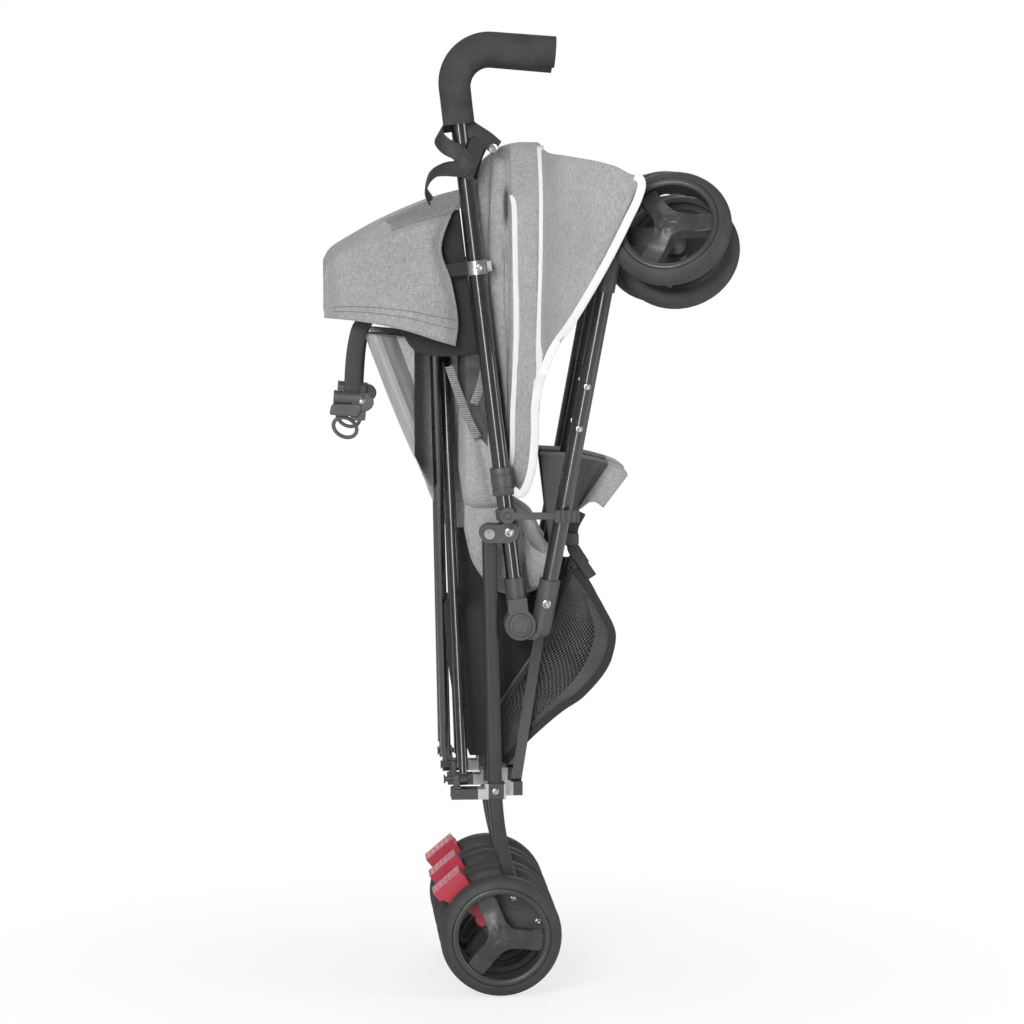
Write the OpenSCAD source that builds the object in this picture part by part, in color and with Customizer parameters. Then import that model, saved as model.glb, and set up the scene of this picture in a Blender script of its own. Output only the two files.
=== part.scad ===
// Twin umbrella stroller, folded for carrying. Millimetres, +Z up, +X to the front wheels.
// The row of frames lies along Y: near (-Y), middle and far (+Y).

/* [Wheels] */
// Radius of every wheel over its tyre
wheel_r = 70; // [60:1:78]
// Width of a tyre
tyre_w = 27; // [22:1:30]
// Height of a tyre above its rim
tyre_h = 13; // [9:1:16]
// Distance between the two wheels of a rear pair
rear_gauge = 72; // [68:1:80]
// Distance between the two wheels of a front pair
front_gauge = 60; // [58:1:66]
// Width of a wheel spoke
spoke_w = 22; // [16:1:26]
// Radius of a wheel axle
axle_r = 4; // [3:0.5:5]

/* [Frame] */
// Distance between neighbouring frames when folded
frame_pitch = 110; // [106:1:120]
// Small forward turn of each frame against the one before it, in degrees
stagger = 0.35; // [0:0.05:0.6]
// Radius of the round frame tubes
tube_r = 9.5; // [8:0.5:10]
// Wall of the frame tubes
tube_wall = 1.5; // [1:0.25:2]
// Rearward lean of the push tubes, in degrees
push_lean = 6.9; // [5.5:0.1:8]
// Push tube from the fold hinge to the grip bend
push_len = 618; // [580:1:650]
// Middle push tube from the fold hinge to its cap
middle_len = 540; // [480:1:570]
// Centreline radius of the grip bend
bend_r = 40; // [34:1:48]
// Radius of the foam grip
grip_r = 18; // [15:0.5:20]
// Straight grip past the bend
grip_reach = 72; // [60:1:80]
// Foam below the bend
grip_skirt = 42; // [30:1:60]

/* [Legs] */
// Rear leg pivot above the rear axle
pivot_h = 460.8; // [450:0.1:475]
// Rear leg pivot behind the rear axle
pivot_set = 11.6; // [8:0.1:16]
// Fold hinge in front of the rear leg pivot
hinge_fwd = 35.2; // [33:0.1:40]
// Fold hinge below the rear leg pivot
hinge_drop = 105; // [98:0.5:112]
// Front leg axis beside the fold hinge
elbow_off = 25.2; // [24.6:0.1:28]
// Forward lean of the folded front legs, in degrees
front_lean = 10.15; // [9:0.05:12]
// Outward splay of the outer front legs, in degrees
splay = 5; // [4:0.1:6]
// Front leg from the elbow to the caster stem
front_len = 443; // [430:1:455]
// Depth of the rear leg section, front to back
leg_d = 16.3; // [14:0.1:18]
// Width of the rear leg section, side to side
leg_w = 20; // [16:0.5:20.5]
// Radius of the forward sweep of the rear leg foot
sweep_r = 360; // [330:1:400]
// Turn of the forward sweep, in degrees
sweep_a = 20; // [18:0.5:22]

/* [Casters] */
// Tilt of the folded caster stems, in degrees
stem_tilt = 118.4; // [115:0.1:121]
// Swivel of the folded casters, in degrees
swivel_rest = 32; // [28:0.5:36]
// Front axle below the leg end along the stem
caster_drop = 66; // [64:1:72]
// Front axle behind the stem
caster_trail = 28; // [24:1:32]

/* [Braces] */
// Brace pivots above the rear axle
brace_h = 163; // [156:1:172]
// Brace line behind the tubes
brace_off = 46; // [44:0.5:50]
// Upper brace clamp below the grip bend
clamp_drop = 206; // [194:1:218]
// Radius of the cross braces
brace_r = 6; // [5:0.25:6.25]
// Side reach left free at a brace top
brace_short = 20; // [18:0.5:24]

/* [Fabric] */
// Free length of tube between the canopy and the foam grip
canopy_gap = 20.8; // [17:0.2:40]
// Lowest point of the canopy above the fold hinge
canopy_rise = 148; // [146:1:160]
// Depth of the folded canopy pleats
canopy_w = 80; // [74:1:82]
// Length of the visor beyond the pleats
visor_len = 102; // [90:1:106]
// Length of the rear hood flap
flap_len = 138; // [120:1:150]
// Height of the rear hood flap
flap_h = 176; // [160:1:185]
// Top of the rear hood flap above the brace clamps
flap_rise = 84; // [80:1:92]
// Length of the cloth neck between the flap and the pleats
flap_neck = 32; // [28:1:36]
// Drop of the seat back fabric behind the braces
back_drop = 160; // [140:1:170]
// Depth of the seat back fabric behind the braces
back_d = 66; // [50:1:75]
// Height of the seat base and its calf flap
base_h = 162; // [150:1:166]
// Length of the calf flap in front of the elbows
calf_d = 103; // [90:1:106]
// Height of the basket
basket_h = 224; // [205:1:226]
// Basket above the brace pivots
basket_rise = 28; // [24:1:32]
// Depth of the basket
basket_d = 130; // [110:1:134]
// Basket in front of the rear legs
basket_set = 9; // [8.5:0.5:12]
// Depth of the cloth folds
fold_depth = 4; // [2:0.5:5]
// Width of the recline straps
strap_w = 28; // [20:1:32]
// Hang of the recline straps
strap_drop = 80; // [70:1:90]

/* [Hidden] */
$fn = 48;
sides = ["near", "middle", "far"];
per_side = ["push_tube", "tube_fittings", "front_leg", "leg_ends", "caster_fork", "front_rims", "front_tyres",
    "rear_leg", "axle_housing", "brace_bracket", "rear_rims", "rear_tyres", "brake_pedal", "brace_swivel",
    "seat_rail"];
NODES = concat([for (s = sides) for (p = per_side) str(s, "_", p)],
    ["near_grip", "far_grip", "near_front_brace", "near_rear_brace", "far_front_brace", "far_rear_brace",
    "near_canopy", "far_canopy", "near_seat", "far_seat", "near_basket", "far_basket", "near_strap",
    "far_strap", "fold_latch"]);
node = "all";

slip = 0.1;
run_fit = 0.05;
eps = 0.5;
lap = 1;
tube_col = [0.12, 0.12, 0.12];
plastic_col = [0.26, 0.26, 0.27];
silver_col = [0.75, 0.75, 0.76];
cloth_col = [0.64, 0.64, 0.64];
mesh_col = [0.16, 0.16, 0.16];
pedal_col = [0.70, 0.20, 0.27];
foam_col = [0.30, 0.30, 0.30];
inner_side = [1, 1, -1];

// Pivot points in the plane of one frame, as [x, z]
leg_pivot = [-pivot_set, wheel_r + pivot_h];
hinge = [leg_pivot[0] + hinge_fwd, leg_pivot[1] - hinge_drop];
elbow = [hinge[0] + elbow_off * cos(front_lean), hinge[1] - elbow_off * sin(front_lean)];
brace_z = wheel_r + brace_h;
leg_top_tilt = 1.31;
foot_play = 1;
leg_run = (leg_pivot[1] - brace_z) / cos(leg_top_tilt);
leg_knee = [leg_pivot[0] + leg_run * sin(leg_top_tilt), brace_z];
leg_foot = [leg_knee[0] + sweep_r * (cos(leg_top_tilt) - cos(leg_top_tilt + sweep_a)),
    leg_knee[1] - sweep_r * (sin(leg_top_tilt + sweep_a) - sin(leg_top_tilt))];
brace_lead = 2;
brace_low = [leg_knee[0] - brace_off + brace_lead, brace_z];
clamp_at = push_len - clamp_drop;
clamp_pt = [hinge[0] - clamp_at * sin(push_lean), hinge[1] + clamp_at * cos(push_lean)];
brace_top = [clamp_pt[0] - brace_off * cos(push_lean), clamp_pt[1] - brace_off * sin(push_lean)];
pin_rise = 14;
brace_dx = brace_top[0] - brace_low[0];
brace_dz = brace_top[1] - brace_low[1];
brace_flat = sqrt(brace_dx * brace_dx + brace_dz * brace_dz) - pin_rise;
brace_turn = atan2(brace_dx, brace_dz);
brace_reach = frame_pitch - brace_short;
brace_len = sqrt(brace_flat * brace_flat + brace_reach * brace_reach);
brace_swing = atan2(brace_reach, brace_flat);
layer = 8;

// Push tubes, their caps and grips
grip_droop = 4.1;
grip_end_turn = 90 + push_lean + grip_droop;
grip_inset = 6;
grip_end = 5;
grip_low_z = hinge[1] + (push_len - grip_skirt) * cos(push_lean);
cap_h = 7.5;
cap_wall = 1.5;
tube_from = 28;

// Fold hinge
fitting_wall = 2.6;
collar_r = tube_r + fitting_wall;
collar_trim = 1;
cheek_gap = 1;
cheek_t = 5;
cheek_in = tube_r + cheek_gap;
cheek_out = cheek_in + cheek_t;
cheek_r = 17.7;
eye_r = 16.5;
eye_gap = 0.6;
pin_r = 5;
pin_stick = 2;
pin_head_r = 11;
pin_head_t = 2.4;
collar_lift = 4;
collar_from = eye_r + collar_lift;
collar_to = 54;
web_h = 10;

// Rear leg bracket, latch pin and brace clamp
bracket_rise = 2;
bracket_at = (hinge_drop + bracket_rise) / cos(push_lean);
bracket_pt = [hinge[0] - bracket_at * sin(push_lean), hinge[1] + bracket_at * cos(push_lean)];
plate_gap = 0.6;
plate_t = 4;
plate_in = max(leg_w / 2, tube_r) + plate_gap;
plate_out = plate_in + plate_t;
lobe_r = 11;
lobe_more = 1;
lobe_trim = 0.5;
saddle_back = 0.8;
saddle_front = 2.4;
leg_pin_r = 4;
leg_pin_stick = 1.6;
leg_head_r = 6;
leg_head_t = 1.8;
clamp_h = 16;
clamp_wall = 3.2;
clamp_r = tube_r + clamp_wall;
arm_end = 8;
arm_t = 7;
arm_h = 14;
ear_reach = 8;
ear_t = 8;
ear_h = 12;

// Fold latch
latch_at = 128;
latch_off = 13.5;
latch_in = tube_r + latch_off;
latch_t = 6;
latch_pin_r = 4;
latch_collar_h = 12;
latch_eye_r = 9;
latch_len = 60;
latch_up = 3.5;
latch_down = 4.5;
clip_from = 54;
clip_to = 82;
clip_t = 2;
clip_up = 6;
clip_down = 8;
clip_groove = 2;
clip_pitch = 6;

// Seat rails
rail_pin_r = 3;
rail_fwd = 16.5;
rail_lug = [leg_knee[0] + leg_d / 2 + rail_fwd, brace_z];
rail_at = 51;
rail_off = 8;
rail_end = [elbow[0] + rail_at * sin(front_lean), elbow[1] + rail_at * cos(front_lean)];
rail_dx = rail_end[0] - rail_lug[0];
rail_dz = rail_end[1] - rail_lug[1];
rail_len = sqrt(rail_dx * rail_dx + rail_dz * rail_dz);
rail_turn = atan2(rail_dx, rail_dz);
rail_y = cheek_out + rail_off;
rail_t = 3.4;
rail_w = 12;
rail_eye_r = 8;
stub_gap = 0.6;
stub_in = tube_r - rail_at * tan(splay);
stub_out = rail_y - rail_t / 2 - stub_gap;

// Front leg ends and caster forks
sleeve_r = tube_r + fitting_wall;
sleeve_len = 57;
leg_from = 15;
leg_short = 17;
web_drop = 3;
web_r = 12.5;
stub_r = 4.5;
foot_wall = 2.1;
foot_sleeve_r = tube_r + foot_wall;
foot_sleeve_len = 48;
stem_low = 8;
stem_h = 34;
stem_r = 14;
stem_cap_h = 3;
stem_cap_r = 11;
stem_pin_r = 5;
stem_pin_low = 12;
stem_pin_len = 35;
stem_bore = 32;
fork_gap = 4;
fork_top = 20;
fork_disc_h = 10.2;
fork_eye_r = 12;
fork_back = 11.5;
fork_lift = 2;
fork_front = 6;
fork_low = 10;
fork_neck = 14;
fork_neck_front = 10;
fork_head = 13;
fork_head_back = 12;

// Wheels
rim_r = wheel_r - tyre_h;
rim_lip = 7;
rim_inset = 6;
spoke_inset = 13;
window_r = 18;
hub_r = 15;
axle_stick = 2;
hub_cap_r = 8;
hub_cap_t = 2.4;
front_spoke_turn = 124;
rear_spoke_turn = 112;

// Rear leg feet, axle housings and pedals
leg_corner = 4;
boss_more = 0.6;
boss_trim = 0.2;
housing_w = 31;
housing_trim = 2;
hub_boss_r = 16;
foot_boss_r = 15;
foot_boss_w = 13;
foot_boss_h = 7;
toe_fwd = 26;
toe_up = 5;
toe_r = 10;
toe_trim = 3;
toe_tip = 9;
toe_pt = [leg_foot[0] + toe_fwd, wheel_r + toe_up];
web_a = 60;
pedal_boss_r = 9;
pedal_gap = 0.6;
pedal_t = 4.6;
pedal_in = housing_w / 2 + pedal_gap;
pedal_out = pedal_in + pedal_t;
pedal_back = 20;
pedal_up = 16;
pedal_pivot = [-pedal_back, wheel_r + pedal_up];
pedal_eye_r = 8;
arm_low = 7;
arm_high = 5;
arm_rise = 3;
pad_back = 60;
pad_up = 57;
pad_at = [-pad_back, wheel_r + pad_up];
pad_turn = 41;
pad_len = 40;
pad_t = 9;
pad_top = 3;
pad_root_back = 10;
pad_root_low = 16;
pad_root_fwd = 19;
pad_root_up = 10;
pad_rib = 7;
pad_groove = 1.4;
pad_edge = 3;

// Brace brackets, swivels and cross braces
bracket_wall = 2;
bracket_end = 7;
bracket_lip = 4;
bracket_low = 9;
bracket_bar = 3;
bracket_fold = 0.6;
bracket_web = 8;
lug_reach = 8;
rail_pin_stick = 1.6;
swivel_gap = 0.4;
swivel_r = 6;
swivel_neck = 3;
swivel_stick = 3.4;
brace_pin_r = 3;
brace_pin_end = 6.6;
brace_head_r = 5;
brace_head_in = 4.8;
brace_eye_r = 8;
brace_eye_t = 4.4;
brace_from = 5;
brace_trim = 20;
brace_flat_h = 12;

// Ends of the front leg of one frame, as [x, y, z] about the frame plane
function leg_end(i) = [elbow[0] + front_len * cos(splay * (i - 1)) * sin(front_lean),
    front_len * sin(splay * (i - 1)),
    elbow[1] + front_len * cos(splay * (i - 1)) * cos(front_lean)];
function tube_x(z) = hinge[0] - (z - hinge[1]) * tan(push_lean);
function brace_x(z) = brace_low[0] + (z - brace_low[1]) * tan(brace_turn);

module place(i) {
    translate([0, (i - 1) * frame_pitch, wheel_r])
        rotate([0, i * stagger, 0])
        translate([0, 0, -wheel_r])
        children();
}

module at(p) {
    translate([p[0], 0, p[1]])
        children();
}

module bar_y(r, from, to) {
    translate([0, from, 0])
        rotate([-90, 0, 0])
        cylinder(h = to - from, r = r);
}

module bar_x(r, from, to) {
    translate([from, 0, 0])
        rotate([0, 90, 0])
        cylinder(h = to - from, r = r);
}

module box(x0, x1, y0, y1, z0, z1) {
    translate([x0, y0, z0])
        cube([x1 - x0, y1 - y0, z1 - z0]);
}

module on_tube(z) {
    translate([hinge[0], 0, hinge[1]])
        rotate([0, -push_lean, 0])
        translate([0, 0, z])
        children();
}

module on_front(i) {
    translate([elbow[0], 0, elbow[1]])
        rotate([0, front_lean, 0])
        rotate([-(i - 1) * splay, 0, 0])
        children();
}

module on_stem(i) {
    translate(leg_end(i))
        rotate([0, -stem_tilt, 0])
        children();
}

module pipe(len, r, wall) {
    difference() {
        cylinder(h = len, r = r);
        translate([0, 0, -eps])
            cylinder(h = len + 2 * eps, r = r - wall);
    }
}

module ring_2d(r, hole) {
    difference() {
        circle(r = r);
        circle(r = hole);
    }
}

// Round section carried around the grip bend
module bend(r, hole) {
    translate([bend_r, 0, 0])
        rotate([0, grip_end_turn - 180, 0])
        rotate([90, 0, 0])
        rotate_extrude(angle = grip_end_turn)
        translate([bend_r, 0])
        ring_2d(r, hole);
}

// Ring inside the wall that joins a straight length to the bend
module join_ring(r, hole) {
    third = (r - hole) / 3;
    translate([0, 0, -lap])
        pipe(2 * lap, r - third, third);
}

module past_bend() {
    translate([bend_r - bend_r * cos(grip_end_turn), 0, bend_r * sin(grip_end_turn)])
        rotate([0, grip_end_turn, 0])
        children();
}

module push_tube(i) {
    color(tube_col)
        if (i == 1) {
            on_tube(tube_from) {
                pipe(middle_len - tube_from - tube_r, tube_r, tube_wall);
                translate([0, 0, middle_len - tube_from - tube_r])
                    cylinder(h = cap_h, r = tube_r + cap_wall);
            }
        } else {
            on_tube(tube_from)
                pipe(push_len - tube_from, tube_r, tube_wall);
            on_tube(push_len) {
                bend(tube_r, tube_r - tube_wall);
                join_ring(tube_r, tube_r - tube_wall);
                past_bend() {
                    pipe(grip_reach - grip_inset, tube_r, tube_wall);
                    join_ring(tube_r, tube_r - tube_wall);
                }
            }
        }
}

module grip() {
    color(foam_col)
        on_tube(push_len) {
            translate([0, 0, -grip_skirt])
                pipe(grip_skirt, grip_r, grip_r - tube_r - slip);
            bend(grip_r, tube_r + slip);
            join_ring(grip_r, tube_r + slip);
            past_bend() {
                join_ring(grip_r, tube_r + slip);
                difference() {
                    cylinder(h = grip_reach, r = grip_r);
                    translate([0, 0, -eps])
                        cylinder(h = grip_reach - grip_end + eps, r = tube_r + slip);
                }
            }
        }
}

// Hinge socket, rear leg bracket and upper brace clamp, each fixed on the push tube
module hinge_socket() {
    difference() {
        union() {
            on_tube(collar_from)
                cylinder(h = collar_to - collar_from, r = collar_r);
            on_tube(0) {
                box(collar_trim - collar_r, collar_r - collar_trim, -cheek_out, cheek_out, collar_from - lap,
                    collar_from + web_h);
                for (s = [-1, 1]) {
                    bar_y(cheek_r, min(s * cheek_in, s * cheek_out), max(s * cheek_in, s * cheek_out));
                    box(collar_trim - collar_r, collar_r - collar_trim, min(s * cheek_in, s * cheek_out),
                        max(s * cheek_in, s * cheek_out), 0, collar_from);
                }
            }
        }
        on_tube(tube_from - slip)
            cylinder(h = collar_to, r = tube_r + slip);
        at(hinge)
            bar_y(pin_r + slip, -cheek_out - eps, cheek_out + eps);
    }
}

module hinge_pin() {
    at(hinge) {
        bar_y(pin_r, -cheek_out - pin_stick, cheek_out + pin_stick);
        for (s = [-1, 1])
            bar_y(pin_head_r, min(s * (cheek_out + slip), s * (cheek_out + pin_head_t)),
                max(s * (cheek_out + slip), s * (cheek_out + pin_head_t)));
    }
}

module leg_bracket(i) {
    difference() {
        union() {
            for (s = [-1, 1]) {
                low = min(s * plate_in, s * plate_out);
                high = max(s * plate_in, s * plate_out);
                at(leg_pivot)
                    bar_y(lobe_r, low, high);
                at(bracket_pt)
                    bar_y(lobe_r + lobe_more, low, high);
                box(leg_pivot[0], bracket_pt[0], low, high, leg_pivot[1] - lobe_r + lobe_trim,
                    leg_pivot[1] + lobe_r - lobe_trim);
            }
            on_tube(bracket_at)
                box(-tube_r - saddle_back, tube_r + saddle_front, -plate_in - lap, plate_in + lap,
                    lap - lobe_r, lobe_r - lap);
            if (i == 0)
                on_tube(latch_at) {
                    translate([0, 0, -latch_collar_h / 2])
                        cylinder(h = latch_collar_h, r = collar_r);
                    bar_y(latch_pin_r, -latch_in - latch_t - pin_stick, -tube_r);
                }
        }
        on_tube(0)
            cylinder(h = push_len, r = tube_r + slip);
        at(leg_pivot)
            bar_y(leg_pin_r + slip, -plate_out - eps, plate_out + eps);
    }
}

module leg_pin() {
    at(leg_pivot) {
        bar_y(leg_pin_r, -plate_out - leg_pin_stick, plate_out + leg_pin_stick);
        for (s = [-1, 1])
            bar_y(leg_head_r, min(s * (plate_out + slip), s * (plate_out + leg_head_t)),
                max(s * (plate_out + slip), s * (plate_out + leg_head_t)));
    }
}

module brace_clamp() {
    on_tube(clamp_at)
        difference() {
            union() {
                translate([0, 0, -clamp_h / 2])
                    cylinder(h = clamp_h, r = clamp_r);
                box(-brace_off - arm_end, 0, -arm_t / 2, arm_t / 2, -arm_h / 2, arm_h / 2);
                box(0, tube_r + ear_reach, -ear_t / 2, ear_t / 2, -ear_h / 2, ear_h / 2);
            }
            translate([0, 0, -clamp_h])
                cylinder(h = 2 * clamp_h, r = tube_r + slip);
            translate([-brace_off, 0, 0])
                bar_y(brace_pin_r, -arm_t, arm_t);
        }
}

module tube_fittings(i) {
    color(plastic_col) {
        hinge_socket();
        leg_bracket(i);
    }
    color(silver_col) {
        hinge_pin();
        leg_pin();
        brace_clamp();
    }
}

module front_leg(i) {
    color(tube_col)
        on_front(i)
            translate([0, 0, leg_from])
            pipe(front_len - leg_from - leg_short, tube_r, tube_wall);
}

module leg_ends(i) {
    color(plastic_col) {
        difference() {
            union() {
                at(hinge)
                    bar_y(eye_r, eye_gap - cheek_in, cheek_in - eye_gap);
                at([(hinge[0] + elbow[0]) / 2, (hinge[1] + elbow[1]) / 2 - web_drop])
                    bar_y(web_r, eye_gap - cheek_in, cheek_in - eye_gap);
                on_front(i) {
                    sphere(r = sleeve_r);
                    cylinder(h = sleeve_len, r = sleeve_r);
                }
                at(rail_end)
                    bar_y(stub_r, min(inner_side[i] * stub_in, inner_side[i] * stub_out),
                        max(inner_side[i] * stub_in, inner_side[i] * stub_out));
            }
            on_front(i)
                translate([0, 0, leg_from - slip])
                cylinder(h = sleeve_len, r = tube_r + slip);
            at(hinge)
                bar_y(pin_r + run_fit, -cheek_in - eps, cheek_in + eps);
        }
        difference() {
            union() {
                on_front(i)
                    translate([0, 0, front_len - foot_sleeve_len])
                    cylinder(h = foot_sleeve_len, r = foot_sleeve_r);
                on_stem(i) {
                    translate([0, 0, -stem_low])
                        cylinder(h = stem_h, r = stem_r);
                    translate([0, 0, stem_h - stem_low])
                        cylinder(h = stem_cap_h, r = stem_cap_r);
                }
            }
            on_front(i)
                translate([0, 0, front_len - foot_sleeve_len - eps])
                cylinder(h = foot_sleeve_len - leg_short + eps + slip, r = tube_r + slip);
            on_stem(i)
                translate([0, 0, -stem_low - eps])
                cylinder(h = stem_bore + eps, r = stem_pin_r + run_fit);
        }
    }
}

// Moves to the axle centre of one front wheel pair
module on_front_axle(i) {
    on_stem(i)
        rotate([0, 0, swivel_rest])
        translate([-caster_trail, 0, -caster_drop])
        children();
}

module caster_fork(i) {
    half = front_gauge / 2 - tyre_w / 2 - fork_gap;
    color(plastic_col)
        on_stem(i)
            rotate([0, 0, swivel_rest]) {
                translate([0, 0, -stem_pin_low])
                    cylinder(h = stem_pin_len, r = stem_pin_r);
                translate([0, 0, -fork_top])
                    cylinder(h = fork_disc_h, r = stem_r);
                difference() {
                    rotate([90, 0, 0])
                        linear_extrude(height = 2 * half, center = true) {
                            translate([-caster_trail, -caster_drop])
                                circle(r = fork_eye_r);
                            polygon([[-caster_trail - fork_back, fork_lift - caster_drop],
                                [fork_front - caster_trail, -caster_drop - fork_low], [fork_head, -fork_top],
                                [fork_neck_front, -fork_neck], [-fork_head_back, -fork_neck]]);
                        }
                    translate([-caster_trail, 0, -caster_drop])
                        bar_y(axle_r + run_fit, -half - eps, half + eps);
                }
            }
}

// Window between two spokes of a rim
module spoke_window() {
    open_r = rim_r - rim_lip / 2;
    apex = spoke_w / 2 / sin(60);
    mid = apex + window_r / sin(60);
    tan_x = mid - window_r * sin(60);
    tan_y = window_r * cos(60);
    intersection() {
        circle(r = open_r);
        union() {
            translate([mid, 0])
                circle(r = window_r);
            polygon([[tan_x, tan_y], [tan_x + wheel_r * cos(60), tan_y + wheel_r * sin(60)], [2 * wheel_r, 0],
                [tan_x + wheel_r * cos(60), -tan_y - wheel_r * sin(60)], [tan_x, -tan_y]]);
        }
    }
}

module rim(turn) {
    rotate([90, 0, 0])
        rotate([0, 0, turn]) {
            difference() {
                union() {
                    linear_extrude(height = tyre_w - rim_inset, center = true)
                        ring_2d(rim_r, rim_r - rim_lip);
                    linear_extrude(height = tyre_w - spoke_inset, center = true)
                        difference() {
                            circle(r = rim_r - rim_lip / 4);
                            for (a = [60, 180, 300])
                                rotate([0, 0, a])
                                    spoke_window();
                        }
                    cylinder(h = tyre_w, r = hub_r, center = true);
                }
                cylinder(h = tyre_w + 2 * eps, r = axle_r + slip, center = true);
            }
        }
}

module tyre() {
    rotate([90, 0, 0])
        rotate_extrude()
        intersection() {
            translate([wheel_r - tyre_w / 2, 0])
                circle(r = tyre_w / 2);
            translate([rim_r + slip, -tyre_w])
                square([tyre_h, 2 * tyre_w]);
        }
}

module rim_pair(gauge, turn) {
    color(plastic_col) {
        for (s = [-1, 1])
            translate([0, s * gauge / 2, 0])
                rim(turn);
        bar_y(axle_r, -gauge / 2 - tyre_w / 2 - axle_stick, gauge / 2 + tyre_w / 2 + axle_stick);
        for (s = [-1, 1]) {
            cap_in = gauge / 2 + tyre_w / 2 + slip;
            cap_out = cap_in + hub_cap_t;
            bar_y(hub_cap_r, min(s * cap_in, s * cap_out), max(s * cap_in, s * cap_out));
        }
    }
}

module tyre_pair(gauge) {
    color(mesh_col)
        for (s = [-1, 1])
            translate([0, s * gauge / 2, 0])
                tyre();
}

module leg_profile(grow) {
    d = leg_d / 2 + grow;
    w = leg_w / 2 + grow;
    r = leg_corner + grow;
    square([2 * d, 2 * (w - r)], center = true);
    square([2 * (d - r), 2 * w], center = true);
    for (x = [-1, 1])
        for (y = [-1, 1])
            translate([x * (d - r), y * (w - r)])
                circle(r = r);
}

// Rear leg section, as a wall where there is a wall and else solid
module leg_section(grow, wall) {
    difference() {
        leg_profile(grow);
        if (wall > 0)
            leg_profile(grow - wall);
    }
}

module leg_solid(grow, wall) {
    at(leg_knee)
        rotate([0, -leg_top_tilt, 0])
        linear_extrude(height = leg_run)
        leg_section(grow, wall);
    translate([leg_knee[0] + sweep_r * cos(leg_top_tilt), 0, leg_knee[1] + sweep_r * sin(leg_top_tilt)])
        rotate([0, -180 - leg_top_tilt, 0])
        rotate([90, 0, 0])
        rotate_extrude(angle = sweep_a + foot_play * grow)
        translate([sweep_r, 0])
        leg_section(grow, wall);
}

module rear_leg() {
    color(tube_col)
        difference() {
            union() {
                leg_solid(0, tube_wall);
                for (k = [-1, 1])
                    at(leg_knee)
                        translate([k * (leg_d - tube_wall) / 2, 0, 0])
                        box(-tube_wall / 4, tube_wall / 4, -leg_w / 8, leg_w / 8, -tube_wall, tube_wall);
                at(leg_pivot)
                    bar_y(leg_d / 2 + boss_more, boss_trim - leg_w / 2, leg_w / 2 - boss_trim);
            }
            at(leg_pivot)
                bar_y(leg_pin_r + run_fit, -leg_w, leg_w);
        }
}

module axle_housing() {
    color(plastic_col)
        difference() {
            union() {
                at([0, wheel_r])
                    bar_y(hub_boss_r, -housing_w / 2, housing_w / 2);
                at(leg_foot)
                    bar_y(foot_boss_r, -housing_w / 2, housing_w / 2);
                at(toe_pt)
                    bar_y(toe_r, toe_trim - housing_w / 2, housing_w / 2 - toe_trim);
                at(pedal_pivot)
                    bar_y(pedal_boss_r, -housing_w / 2, housing_w / 2);
                rotate([90, 0, 0])
                    linear_extrude(height = housing_w - housing_trim, center = true)
                    polygon([pedal_pivot + pedal_boss_r * [-cos(web_a), sin(web_a)],
                        leg_foot + [-foot_boss_w, foot_boss_h], leg_foot + [foot_boss_w, foot_boss_h],
                        toe_pt + [toe_tip, 0], toe_pt + toe_tip * [0, -1], [0, wheel_r - hub_boss_r + lap],
                        [lap - hub_boss_r, wheel_r], pedal_pivot + pedal_boss_r * [-cos(web_a), -sin(web_a)]]);
            }
            leg_solid(slip, 0);
            translate([0, 0, wheel_r])
                bar_y(axle_r + run_fit, -housing_w, housing_w);
            at(pedal_pivot)
                bar_y(leg_pin_r + run_fit, -housing_w, housing_w);
        }
}

module brake_pedal() {
    color(pedal_col) {
        for (s = [-1, 1])
            translate([0, s * (pedal_in + pedal_out) / 2, 0])
                rotate([90, 0, 0])
                linear_extrude(height = pedal_out - pedal_in, center = true) {
                    translate(pedal_pivot)
                        circle(r = pedal_eye_r);
                    polygon([pedal_pivot + [-arm_low, arm_rise], pad_at + [-pad_root_back, -pad_root_low],
                        pad_at + [pad_root_fwd, pad_root_up], pedal_pivot + [arm_high, 2 * arm_rise]]);
                }
        at(pedal_pivot)
            bar_y(leg_pin_r, -pedal_out, pedal_out);
        at(pad_at)
            rotate([0, -pad_turn, 0])
            difference() {
                box(-pad_len / 2, pad_len / 2, -pedal_out, pedal_out, -pad_t, pad_top);
                for (k = [-2:2])
                    translate([k * pad_rib, 0, pad_top])
                        rotate([0, 45, 0])
                        box(-pad_groove, pad_groove, pad_edge - pedal_out, pedal_out - pad_edge, -pad_groove,
                            pad_groove);
            }
    }
}

module brace_bracket(i) {
    inn = inner_side[i];
    near_face = leg_w / 2 + slip;
    plate = near_face + bracket_wall;
    leg_front = leg_knee[0] + leg_d / 2;
    lug_in = plate - bracket_wall;
    pin_out = rail_y + rail_t / 2 + rail_pin_stick;
    color(silver_col) {
        difference() {
            union() {
                for (s = [-1, 1]) {
                    low = min(s * near_face, s * plate);
                    high = max(s * near_face, s * plate);
                    box(brace_low[0] - bracket_end, leg_front + bracket_lip, low, high, brace_z - bracket_low,
                        brace_z + bracket_bar);
                    box(leg_front - leg_d - bracket_lip, leg_front + bracket_lip, low, high,
                        brace_z - bracket_low, brace_z + bracket_low);
                }
                box(leg_front + bracket_fold, leg_front + bracket_bar, -plate, plate, brace_z - bracket_web,
                    brace_z + bracket_web);
                box(leg_front, rail_lug[0] + lug_reach, min(inn * lug_in, inn * (plate + lap)),
                    max(inn * lug_in, inn * (plate + lap)), brace_z - bracket_web, brace_z + bracket_web);
                at(rail_lug)
                    bar_y(rail_pin_r, min(inn * (plate - lap), inn * pin_out),
                        max(inn * (plate - lap), inn * pin_out));
            }
            at(brace_low)
                bar_y(brace_pin_r + run_fit, -plate - eps, plate + eps);
        }
    }
}

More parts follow.
